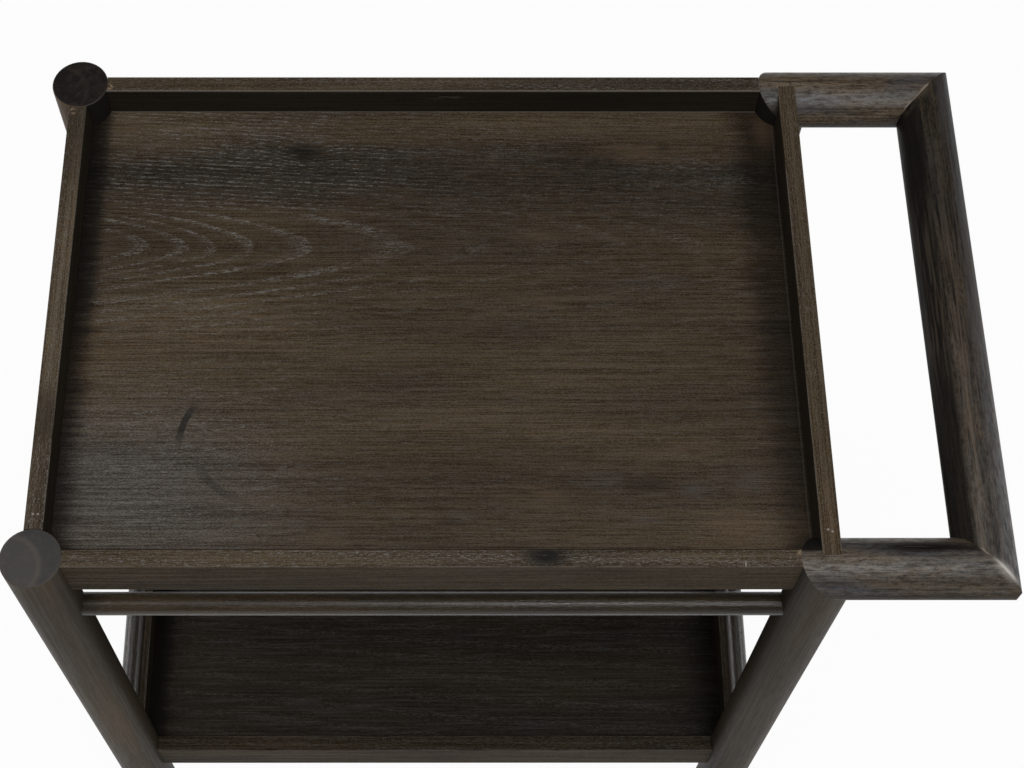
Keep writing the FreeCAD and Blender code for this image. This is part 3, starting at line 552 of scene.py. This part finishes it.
rail, across = rail_stain("top_rail_front_oak", "front", UPPER_RIM, top_depth=1.26, top_wax=0.42)
seam = rail.times(ease(rail.tree, across, HALF_RAIL - 0.0016, HALF_RAIL - 0.0006),
                  ease(rail.tree, rail.z, UPPER_RIM - 0.0030, UPPER_RIM - 0.0010))
rail.lay(seam, SOOT_AND_PAINTED_SHADE, 0.85)
smear = rail.times(soft_spot(rail, (0.030, -0.2495, UPPER_RIM), (0.030, 0.014, 0.01)),
                   rail.streaks((50.0, 300.0, 300.0), 0.2, 0.42))
rail.lay(smear, SMUDGE, 0.95)
chip = rail.times(soft_spot(rail, (0.2535, -0.2485, UPPER_RIM), (0.0055, 0.007, 0.01)),
                  rail.streaks(CHIP_CELLS, 0.4, 0.55))
rail.lay(chip, BARE_CHIP, 0.9)
rail.lay(soft_spot(rail, (0.2038, -0.2567, UPPER_RIM), (0.0009, 0.0040, 0.01)), PALE_DOT, 0.8)
dress("top_rail_front", rail.seal(RAIL_GLOSS))

rail, across = rail_stain("top_rail_back_oak", "back", UPPER_RIM, top_depth=1.08, top_wax=0.32)
chip = rail.times(soft_spot(rail, (-0.3915, 0.2480, UPPER_RIM), (0.0045, 0.007, 0.01)),
                  rail.streaks(CHIP_CELLS, 0.42, 0.6))
rail.lay(chip, BARE_CHIP, 0.7)
scuff = rail.times(soft_spot(rail, (-0.061, 0.2425, 0.8300), (0.030, 0.004, 0.006)),
                   rail.streaks((60.0, 300.0, 300.0), 0.45, 0.6))
rail.lay(scuff, WORN_EDGE_AND_HIGHLIGHT, 0.5)
# Painted highlight: a pale line along the eased inner top edge of the back rail.
rim_line = rail.times(ease(rail.tree, across, HALF_RAIL - 0.0013, HALF_RAIL - 0.0006),
                      ease(rail.tree, rail.z, UPPER_RIM - 0.0022, UPPER_RIM - 0.0012))
rail.lay(rim_line, WORN_EDGE_AND_HIGHLIGHT, 0.9)
dress("top_rail_back", rail.seal(RAIL_GLOSS))

rail, _ = rail_stain("top_rail_left_oak", "left", UPPER_RIM, top_depth=1.38, top_wax=0.42)
rail.lay(soft_spot(rail, (LEG_X["left"], -0.115, UPPER_RIM), (0.02, 0.045, 0.03)), CHARCOAL, 0.55)
rail.lay(ease(rail.tree, rail.y, 0.06, 0.20), CHARCOAL, 0.5)
for x in (-0.4228, -0.4184):
    rail.lay(soft_spot(rail, (x, -0.2096, UPPER_RIM), PIN_HOLE), PALE_DOT, 0.85)
chip = rail.times(soft_spot(rail, (-0.4266, 0.2185, UPPER_RIM), (0.006, 0.006, 0.01)),
                  rail.streaks(CHIP_CELLS, 0.42, 0.6))
rail.lay(chip, BARE_CHIP, 0.7)
dress("top_rail_left", rail.seal(RAIL_GLOSS))

rail, _ = rail_stain("top_rail_right_oak", "right", UPPER_RIM, top_depth=1.22, top_wax=0.18)
for x, y in ((0.2785, -0.2243), (0.2822, -0.2262)):
    rail.lay(soft_spot(rail, (x, y, UPPER_RIM), PIN_HOLE), PALE_DOT, 0.85)
dress("top_rail_right", rail.seal(RAIL_GLOSS))

# Upper panel: a wide oak board let into grooves in the rails, 35 mm below their top edges.
# It was sawn near the heart, so pale wax stands in nested arches at its left end.
# Shade from the end rails is painted along its ends, and something round has left two dark arcs.

FIGURE_Y = 0.084
FIGURE_LEFT = -0.393
ARCH_TAPER = 0.13
ARCH_TIPS = (-0.400, -0.3482, -0.3074, -0.2782, -0.2385, -0.1830, -0.0840)
WIDE_RING = 0.009
FLAT_LINES = 0.040
PANEL_ENDS = (-0.413, 0.272)
RED_OAK = (0.072, 0.046, 0.029, 1.0)
BLUE_WAX_AND_SHEEN = (0.058, 0.056, 0.053, 1.0)
KNOT = (0.0105, 0.0078, 0.0056, 1.0)
PAINTED_SHEEN = (0.26, 0.255, 0.25, 1.0)
SCUFF_RADIUS = 0.068
RIGHT_GROOVE = 0.2695
BACK_GROOVE = 0.2420


def face_spot(board, x, y, reach_x, reach_y):
    """A soft spot on the upper panel's face."""
    return soft_spot(board, (x, y, TRAY_FLOOR), (reach_x, reach_y, 1.0))


def arch_figure(board):
    """Ring count of a board sawn near the heart: arches about one line, drawn out to the left."""
    tree = board.tree
    across = calc(tree, "SUBTRACT", board.y, FIGURE_Y)
    depth = ease(tree, across, -0.006, 0.006, 0.032, 0.045)
    section = length_of(tree, add_node(tree, "CombineXYZ", {0: across, 1: depth}).outputs[0])
    radius = calc(tree, "SUBTRACT", section, depth)
    along = calc(tree, "MULTIPLY", calc(tree, "SUBTRACT", board.x, FIGURE_LEFT), ARCH_TAPER)
    radius = calc(tree, "ADD", radius, along)
    rear = calc(tree, "MAXIMUM", calc(tree, "SUBTRACT", across, FLAT_LINES), 0.0)
    radius = calc(tree, "ADD", radius, rear)
    bend = noise(tree, board.place, (9.0, 30.0, 1.0), 1.0)["Fac"]
    bend = calc(tree, "MULTIPLY", calc(tree, "SUBTRACT", bend, 0.5), 0.0032)
    radius = calc(tree, "ADD", radius, bend)
    swirl = face_spot(board, -0.199, 0.193, 0.045, 0.028)
    radius = calc(tree, "ADD", radius, calc(tree, "MULTIPLY", swirl, 0.014))
    starts = [(tip - FIGURE_LEFT) * ARCH_TAPER for tip in ARCH_TIPS]
    outside = calc(tree, "MAXIMUM", calc(tree, "SUBTRACT", radius, starts[-1]), 0.0)
    count = calc(tree, "DIVIDE", outside, WIDE_RING)
    for low, high in zip(starts, starts[1:]):
        ring = add_node(tree, "MapRange", {"Value": radius, "From Min": low, "From Max": high})
        count = calc(tree, "ADD", count, ring.outputs["Result"])
    return count


def patches(board, base, spots):
    """A value that is raised or lowered round some places of the upper panel."""
    for *spot, amount in spots:
        base = calc(board.tree, "ADD", base, board.times(face_spot(board, *spot), amount))
    return base


def lay_marks(board, colour, strength, broken, marks):
    """Lays marks of one colour on the upper panel, broken along the grain."""
    for mark in marks:
        board.lay(board.times(face_spot(board, *mark), broken), colour, strength)


def deepen(board, share, left_over):
    """Darkens a finish by a mask and keeps its grain; left_over is the share of colour that stays."""
    board.colour = paint(board.tree, share, board.colour, left_over, "MULTIPLY")


def darken_ends(board, full, reach, left, right):
    """Ragged bands of painted shade along the end rails, as photographed, the right one wider at the
    back.
    Left and right are the shares of colour that stay."""
    tree = board.tree
    ragged = calc(tree, "SUBTRACT", noise(tree, board.place, (7.0, 190.0, 1.0))["Fac"], 0.5)
    along = calc(tree, "ADD", board.x, calc(tree, "MULTIPLY", ragged, 0.03))
    deepen(board, ease(tree, along, PANEL_ENDS[0] + reach, PANEL_ENDS[0] + full), left)
    spread = calc(tree, "ADD", along, calc(tree, "MULTIPLY", board.y, 0.035))
    rear = ease(tree, board.y, -0.22, 0.0, 0.9, 1.0)
    gathered = ease(tree, spread, PANEL_ENDS[1] - 0.050, PANEL_ENDS[1] - 0.018)
    deepen(board, board.times(gathered, rear), right)


board = WoodSurface("top_panel_oak", "x", (0.0, 0.0, 0.0))
tree = board.tree
patchy = ease(tree, noise(tree, board.place, (10.0, 80.0, 1.0), 1.0)["Fac"], 0.35, 0.65, 0.5, 1.25)
line_wax = board.times(ease(tree, board.x, -0.02, -0.30, 0.20, 1.1),
                       ease(tree, board.y, -0.03, 0.06, 0.25, 1.0), patchy)
pore_wax = board.times(patches(board, 0.07, [
    (-0.30, 0.205, 0.20, 0.030, 0.26),
    (-0.27, 0.155, 0.20, 0.040, 0.07),
    (-0.33, 0.010, 0.12, 0.050, 0.20),
    (-0.30, -0.130, 0.20, 0.110, 0.24),
    (-0.05, 0.190, 0.14, 0.030, 0.16),
    (-0.10, 0.228, 0.40, 0.030, 0.12),
    (0.19, 0.165, 0.10, 0.030, 0.16),
]), patchy)
rear_y = calc(tree, "ADD", board.y, ease(tree, board.x, -0.22, -0.36, 0.0, 0.020))
rear_y = calc(tree, "ADD", rear_y, ease(tree, board.x, 0.06, 0.16, 0.0, 0.028))
dark_band = board.times(ease(tree, rear_y, 0.216, 0.190), ease(tree, board.y, 0.110, 0.170),
                        ease(tree, board.x, -0.40, -0.25, 0.7, 1.0))
rub = calc(tree, "SUBTRACT", patches(board, 0.62, [
    (-0.34, 0.165, 0.22, 0.050, -0.2),
    (-0.36, -0.140, 0.16, 0.13, -0.3),
]), board.times(dark_band, 0.6))
depth = calc(tree, "SUBTRACT", patches(board, 0.86, [
    (-0.37, -0.030, 0.24, 0.14, 0.32),
    (-0.37, 0.225, 0.16, 0.040, 0.40),
    (0.08, 0.232, 0.20, 0.034, 0.20),
    (0.22, 0.225, 0.12, 0.050, 0.40),
    (0.16, -0.070, 0.14, 0.060, 0.14),
    (-0.27, -0.120, 0.12, 0.040, -0.18),
    (-0.37, -0.035, 0.08, 0.080, 0.16),
    (-0.25, -0.235, 0.22, 0.045, 0.30),
    (0.03, -0.180, 0.18, 0.070, -0.20),
    (0.23, -0.225, 0.10, 0.060, 0.46),
    (-0.38, -0.225, 0.09, 0.050, 0.30),
]), board.times(dark_band, 0.26))
board.stain(arch_figure(board), line_wax, pore_wax, rub, depth=depth, ripple=0.12)
board.lay(board.streaks((55.0, 760.0, 1.0), 0.54, 0.70), BLUE_WAX_AND_SHEEN, 0.35)
board.lay(board.streaks((45.0, 640.0, 1.0), 0.46, 0.30), RED_OAK, 0.25)
# Painted sheen: a pale grey laid thinly over the left front of the panel, where a lamp's reflection
# falls.
bloom = board.times(face_spot(board, -0.41, -0.200, 0.28, 0.18),
                    ease(tree, board.grain["Fibre"], 0.0, 1.0, 0.6, 1.4),
                    ease(tree, board.grain["Fleck"], 0.0, 1.0, 0.6, 1.4))
board.lay(bloom, PAINTED_SHEEN, 0.10)
along_grain = board.streaks((40.0, 520.0, 1.0), 0.35, 0.6)
lay_marks(board, RED_OAK, 0.38, along_grain, (
    (0.023, -0.177, 0.050, 0.022), (0.166, -0.132, 0.045, 0.013), (0.211, -0.206, 0.045, 0.022),
    (-0.169, -0.220, 0.034, 0.013), (0.030, 0.097, 0.034, 0.012), (0.032, 0.025, 0.050, 0.014),
    (0.130, 0.193, 0.060, 0.018), (-0.375, 0.225, 0.028, 0.016),
))
lay_marks(board, BLUE_WAX_AND_SHEEN, 0.25, along_grain, (
    (0.219, -0.162, 0.028, 0.024), (0.170, -0.172, 0.024, 0.014), (-0.045, -0.196, 0.024, 0.009),
    (0.122, -0.201, 0.034, 0.009), (0.083, -0.162, 0.034, 0.014), (0.140, 0.045, 0.070, 0.008),
))
knotty = board.streaks((60.0, 400.0, 1.0), 0.25, 0.5)
lay_marks(board, KNOT, 0.4, knotty, ((0.128, -0.167, 0.034, 0.014), (0.214, 0.1985, 0.008, 0.005)))
lay_marks(board, KNOT, 0.5, knotty, ((-0.052, -0.204, 0.024, 0.006), (0.159, 0.1985, 0.010, 0.006)))
lay_marks(board, KNOT, 1.0, knotty, ((-0.201, 0.193, 0.024, 0.015),))
for middle, patch, half, strength in (
    ((-0.236, -0.126), (-0.2995, -0.105, 0.030, 0.030), 0.0026, 0.8),
    ((-0.223, -0.118), (-0.268, -0.166, 0.046, 0.040), 0.0028, 0.4),
):
    offset = vector_calc(tree, "SUBTRACT", board.position, (*middle, TRAY_FLOOR))
    arc = board.band(length_of(tree, offset), SCUFF_RADIUS, half, 0.0012)
    board.lay(board.times(arc, face_spot(board, *patch)), SMUDGE, strength)
darken_ends(board, full=0.003, reach=0.030,
            left=(0.24, 0.22, 0.22, 1.0), right=(0.36, 0.35, 0.34, 1.0))
# Painted shade: a darker patch along the left rail, over the rear half.
left_rear = board.times(ease(tree, board.x, PANEL_ENDS[0] + 0.024, PANEL_ENDS[0] + 0.012),
                        ease(tree, board.y, -0.06, 0.04))
board.lay(left_rear, SOOT_AND_PAINTED_SHADE, 0.6)
board.lay(face_spot(board, 0.262, 0.220, 0.018, 0.030), RED_OAK, 0.35)
board.lay(board.band(board.x, RIGHT_GROOVE, 0.0003, 0.0006), GREY_WAX, 0.16)
board.lay(board.band(board.y, BACK_GROOVE, 0.0004, 0.0008), WORN_EDGE_AND_HIGHLIGHT, 0.5)
dress("top_panel", board.seal(0.08))

# Lower tray rails: the same bars round the lower tray, made and fixed like the upper ones.
# They are less handled, so their top edges kept more stain.

LOWER_RIM = 0.232
for side in RAIL_LINES:
    rail, _ = rail_stain(f"shelf_rail_{side}_oak", side, LOWER_RIM, top_depth=0.85, top_wax=0.2)
    dress(f"shelf_rail_{side}", rail.seal(RAIL_GLOSS))

# Lower panel: a second board, grooved into the lower rails.
# It is stained nearly black, with fine blue-grey wax streaks along the grain.

SHELF_FLOOR = 0.197
board = WoodSurface("shelf_panel_oak", "x", (2.3, 0.4, 0.6))
shelf_rings = board.rings(pith_depth=0.05, ring_width=0.006, taper=0.02)
board.stain(shelf_rings, line_wax=0.16, pore_wax=0.08, rub=0.3, contrast=0.85, depth=0.50)
board.lay(board.streaks((16.0, 420.0, 420.0), 0.48, 0.70), BLUE_WAX_AND_SHEEN, 0.30)
# Grey wax streaks on the left of the shelf, laid thicker there as painted sheen from the side.
waxed = board.times(soft_spot(board, (-0.300, -0.02, SHELF_FLOOR), (0.16, 0.20, 1.0)),
                    board.streaks((12.0, 260.0, 260.0), 0.50, 0.68))
board.lay(waxed, BLUE_WAX_AND_SHEEN, 0.22)
# Painted shade: the shelf is darkened along both end rails, near-black at the left.
darken_ends(board, full=0.010, reach=0.032,
            left=(0.30, 0.28, 0.28, 1.0), right=(0.40, 0.40, 0.40, 1.0))
board.lay(ease(board.tree, board.x, PANEL_ENDS[0] + 0.026, PANEL_ENDS[0] + 0.010), SOOT_AND_PAINTED_SHADE, 0.7)
dress("shelf_panel", board.seal(0.10))

# Stretchers and guard rails: round oak dowels let into bores in the legs,
# one under each long upper rail and one over each end of the lower tray.
# They are stained brown and waxed to a soft gloss.

DOWEL_SMOOTHING = 0.17
for piece, grain, shift, depth, gloss in (
    ("front_stretcher", "x", (0.9, 0.3, 0.4), 0.97, 0.27),
    ("back_stretcher", "x", (1.9, 0.6, 0.1), 0.97, 0.27),
    ("left_guard_rail", "y", (0.5, 0.9, 0.2), 0.6, 0.9),
    ("right_guard_rail", "y", (1.1, 1.9, 0.7), 0.6, 0.9),
):
    dowel = WoodSurface(f"{piece}_oak", grain, shift)
    tree = dowel.tree
    dowel.stain(dowel.rings(**ROUND_STOCK), line_wax=0.06, pore_wax=0.10, rub=0.42, contrast=0.8,
                depth=depth)
    dowel.lay(dowel.streaks((14.0, 110.0, 110.0), 0.53, 0.70, 3.0), SOOT_AND_PAINTED_SHADE, 0.35)
    # Painted shade: the long stretchers are darkened near the legs at both ends.
    if grain == "x":
        dowel.lay(ease(tree, dowel.x, 0.13, 0.23), SOOT_AND_PAINTED_SHADE, 0.45)
        dowel.lay(ease(tree, dowel.x, -0.37, -0.395), SOOT_AND_PAINTED_SHADE, 0.6)
    dowel.roughness = calc(tree, "SUBTRACT", dowel.roughness, DOWEL_SMOOTHING)
    dress(piece, dowel.seal(gloss))

# Caster sockets, stems and axles: turned steel, zinc plated, dulled by handling.
# A socket is pressed into each leg's foot, the stem turns in it, and the axle is riveted in the fork.

CORNERS = ("front_left", "front_right", "back_left", "back_right")
PEEL_DEPTH = 0.0004


def make_shop_dust():
    """Loose grey dust: thick on faces that look up, thin and patchy elsewhere."""
    inputs = {"Place": "Vector", "Amount": "Float"}
    tree, given, made = node_group("shop_dust", inputs, {"Dust": "Float"})
    up = add_node(tree, "SeparateXYZ", {0: add_node(tree, "NewGeometry").outputs["Normal"]}).outputs[2]
    patchy = noise(tree, given["Place"], (240.0, 240.0, 240.0), 4.0, 0.65)["Fac"]
    patchy = ease(tree, patchy, 0.35, 0.75)
    settled = calc(tree, "MULTIPLY", ease(tree, up, -0.1, 0.95, 0.15, 1.0), patchy)
    put_out(tree, made, {"Dust": calc(tree, "MULTIPLY", settled, given["Amount"])})
    return tree


shop_dust = make_shop_dust()
GREY_DUST = (0.19, 0.18, 0.165, 1.0)


class HardSurface:
    """A finish of metal, plastic or rubber while it is made."""

    def __init__(self, name):
        self.material = bpy.data.materials.new(name)
        self.material.use_nodes = True
        self.tree = self.material.node_tree
        self.tree.nodes.clear()
        self.position = add_node(self.tree, "TexCoord").outputs["Object"]

    def grain(self, cells, low, high, start=0.0, end=1.0, detail=3.0):
        """A mask of noise with its own count of cells in each metre along X, Y and Z."""
        found = noise(self.tree, self.position, cells, detail, 0.6)["Fac"]
        return ease(self.tree, found, low, high, start, end)

    def dust(self, amount):
        """A mask of the dust that lies on the piece."""
        inputs = {"Place": self.position, "Amount": amount}
        return add_node(self.tree, "Group", inputs, node_tree=shop_dust).outputs["Dust"]

    def close(self, colour, roughness, height, bump, metallic, specular=0.5):
        """Finishes the surface and gives the material."""
        inputs = {"Height": height, "Strength": bump, "Distance": PEEL_DEPTH}
        normal = add_node(self.tree, "Bump", inputs).outputs["Normal"]
        inputs = {"Base Color": colour, "Roughness": roughness, "Normal": normal}
        inputs |= {"Metallic": metallic, "Specular IOR Level": specular}
        shader = add_node(self.tree, "BsdfPrincipled", inputs).outputs[0]
        add_node(self.tree, "OutputMaterial", {"Surface": shader})
        return self.material


ZINC = (0.56, 0.57, 0.58, 1.0)
DULL_ZINC = (0.38, 0.385, 0.38, 1.0)
UPRIGHT_TURNING = (60.0, 60.0, 2600.0)
AXLE_TURNING = (900.0, 60.0, 900.0)
for piece, cells in (("socket", UPRIGHT_TURNING), ("stem", UPRIGHT_TURNING), ("axle", AXLE_TURNING)):
    plate = HardSurface(f"caster_{piece}_zinc")
    tree = plate.tree
    turned = plate.grain(cells, 0.3, 0.7)
    clouds = plate.grain((90.0, 90.0, 90.0), 0.4, 0.65)
    colour = paint(tree, clouds, ZINC, DULL_ZINC)
    colour = paint(tree, plate.dust(0.5), colour, GREY_DUST)
    roughness = calc(tree, "ADD", ease(tree, clouds, 0.0, 1.0, 0.24, 0.42),
                     calc(tree, "MULTIPLY", turned, 0.08))
    finish = plate.close(colour, roughness, turned, bump=0.15, metallic=1.0)
    for corner in CORNERS:
        dress(f"caster_{piece}_{corner}", finish)

# Caster forks: pressed steel sheet, bent over a crown and powder coated in satin black.
# The coat has a fine orange peel, dust lies on the crown, and patches are rubbed to grey.

POWDER_BLACK = (0.020, 0.020, 0.021, 1.0)
RUBBED_BLACK = (0.060, 0.060, 0.062, 1.0)
coat = HardSurface("caster_fork_black")
tree = coat.tree
peel = coat.grain((1100.0, 1100.0, 1100.0), 0.3, 0.7)
rubbed = coat.grain((130.0, 130.0, 130.0), 0.5, 0.7)
colour = paint(tree, rubbed, POWDER_BLACK, RUBBED_BLACK)
colour = paint(tree, coat.dust(0.7), colour, GREY_DUST)
roughness = ease(tree, rubbed, 0.0, 1.0, 0.38, 0.5)
finish = coat.close(colour, roughness, peel, bump=0.18, metallic=0.0)
for corner in CORNERS:
    dress(f"caster_fork_{corner}", finish)

# Wheel hubs: moulded black nylon, one piece with barrel, web and rim, turning on the axle.
# The moulding is finely matt, with faint flow marks and a little dust.

NYLON = (0.026, 0.026, 0.027, 1.0)
NYLON_FLOW = (0.042, 0.042, 0.043, 1.0)
moulding = HardSurface("wheel_hub_nylon")
tree = moulding.tree
flow = moulding.grain((70.0, 20.0, 70.0), 0.42, 0.62)
matt = moulding.grain((1500.0, 1500.0, 1500.0), 0.3, 0.7)
colour = paint(tree, flow, NYLON, NYLON_FLOW)
colour = paint(tree, moulding.dust(0.55), colour, GREY_DUST)
roughness = ease(tree, matt, 0.0, 1.0, 0.45, 0.6)
finish = moulding.close(colour, roughness, matt, bump=0.12, metallic=0.0)
for corner in CORNERS:
    dress(f"wheel_hub_{corner}", finish)

# Wheel tyres: soft grey rubber rings moulded on the hubs.
# The tread is scuffed and dusty from the floor, and the sides are smoother and darker.

RUBBER = (0.060, 0.060, 0.060, 1.0)
TREAD_SCUFF = (0.150, 0.145, 0.138, 1.0)
TREAD_HALF = 0.006
for corner in CORNERS:
    ring = HardSurface(f"wheel_tyre_{corner}_rubber")
    tree = ring.tree
    side = corner.split("_")[0]
    across = add_node(tree, "SeparateXYZ", {0: ring.position}).outputs["Y"]
    across = calc(tree, "ABSOLUTE", calc(tree, "SUBTRACT", across, LEG_Y[side]))
    tread = ease(tree, across, TREAD_HALF + 0.002, TREAD_HALF - 0.001)
    scuffs = ring.grain((160.0, 420.0, 160.0), 0.4, 0.62)
    pits = ring.grain((1300.0, 1300.0, 1300.0), 0.35, 0.7)
    colour = paint(tree, calc(tree, "MULTIPLY", tread, scuffs), RUBBER, TREAD_SCUFF)
    colour = paint(tree, ring.dust(0.4), colour, GREY_DUST)
    roughness = ease(tree, tread, 0.0, 1.0, 0.55, 0.8)
    height = calc(tree, "ADD", pits, scuffs)
    finish = ring.close(colour, roughness, height, bump=0.3, metallic=0.0, specular=0.35)
    dress(f"wheel_tyre_{corner}", finish)

# Floor: a plain pale sheet that runs far past the picture and keeps the cart's shadow.
# Seen straight, in a reflection or through glass it is nearly white.

FLOOR_REACH = 20.0
FLOOR_PALE = (0.92, 0.92, 0.92, 1.0)
FLOOR_WHITENESS = 0.95
WHITE = (1.0, 1.0, 1.0, 1.0)
floor_mesh = bpy.data.meshes.new("floor")
signs = ((-1, -1), (1, -1), (1, 1), (-1, 1))
points = [(x * FLOOR_REACH, y * FLOOR_REACH, 0.0) for x, y in signs]
floor_mesh.from_pydata(points, [], [(0, 1, 2, 3)])
floor = bpy.data.objects.new("floor", floor_mesh)
bpy.context.scene.collection.objects.link(floor)
floor_paint = bpy.data.materials.new("floor_paint")
floor_paint.use_nodes = True
tree = floor_paint.node_tree
tree.nodes.clear()
path = add_node(tree, "LightPath").outputs
seen = calc(tree, "MAXIMUM", path["Is Camera Ray"], path["Is Transmission Ray"])
seen = calc(tree, "MAXIMUM", seen, path["Is Glossy Ray"])
whitened = calc(tree, "MULTIPLY", seen, FLOOR_WHITENESS)
matt = add_node(tree, "BsdfDiffuse", {"Color": FLOOR_PALE}).outputs[0]
glow = add_node(tree, "Emission", {"Color": WHITE, "Strength": 1.0}).outputs[0]
mixed = add_node(tree, "MixShader", {0: whitened, 1: matt, 2: glow}).outputs[0]
add_node(tree, "OutputMaterial", {"Surface": mixed})
floor_mesh.materials.append(floor_paint)

# Light: a wide softbox hung over the cart, a smaller one by the camera and one at each side,
# in a dim, even room.

ROOM_STRENGTH = 0.14
world = bpy.data.worlds.new("studio")
world.use_nodes = True
room = world.node_tree.nodes["Background"].inputs
room["Color"].default_value = WHITE
room["Strength"].default_value = ROOM_STRENGTH
bpy.context.scene.world = world
for name, place, aim, size, power in (
    ("over_cart", (-0.35, -0.35, 2.65), (-0.35, -0.35, 0.0), (2.2, 1.6), 27.0),
    ("by_camera", (0.50, -1.05, 2.60), (0.1, 0.0, 0.8), (1.4, 0.5), 18.0),
    ("left_side", (-2.4, 0.5, 1.3), (-0.4, 0.0, 0.5), (2.0, 1.0), 14.0),
    ("right_side", (2.4, 0.1, 1.5), (0.4, 0.0, 0.6), (1.3, 1.0), 10.0),
):
    softbox = bpy.data.lights.new(name, "AREA")
    softbox.shape = "RECTANGLE"
    softbox.size, softbox.size_y = size
    softbox.energy = power
    lamp = bpy.data.objects.new(name, softbox)
    lamp.location = place
    lamp.rotation_euler = (Vector(aim) - Vector(place)).to_track_quat("-Z", "Y").to_euler()
    bpy.context.scene.collection.objects.link(lamp)

# Camera: above the cart's front edge, looking down at the upper tray.
# It stands a little left of the cart's middle, with its picture shifted to the right.

CAMERA_PLACE = (-0.0595, -0.8228, 2.3456)
CAMERA_TURN = (26.211, -0.0605, -0.0321)
view = bpy.data.cameras.new("view")
view.sensor_width = 36.0
view.lens = 64.514
view.shift_x = 0.06406
camera = bpy.data.objects.new("view", view)
camera.location = CAMERA_PLACE
camera.rotation_euler = [math.radians(angle) for angle in CAMERA_TURN]
bpy.context.scene.collection.objects.link(camera)
bpy.context.scene.camera = camera
bpy.context.scene.view_settings.view_transform = "Standard"
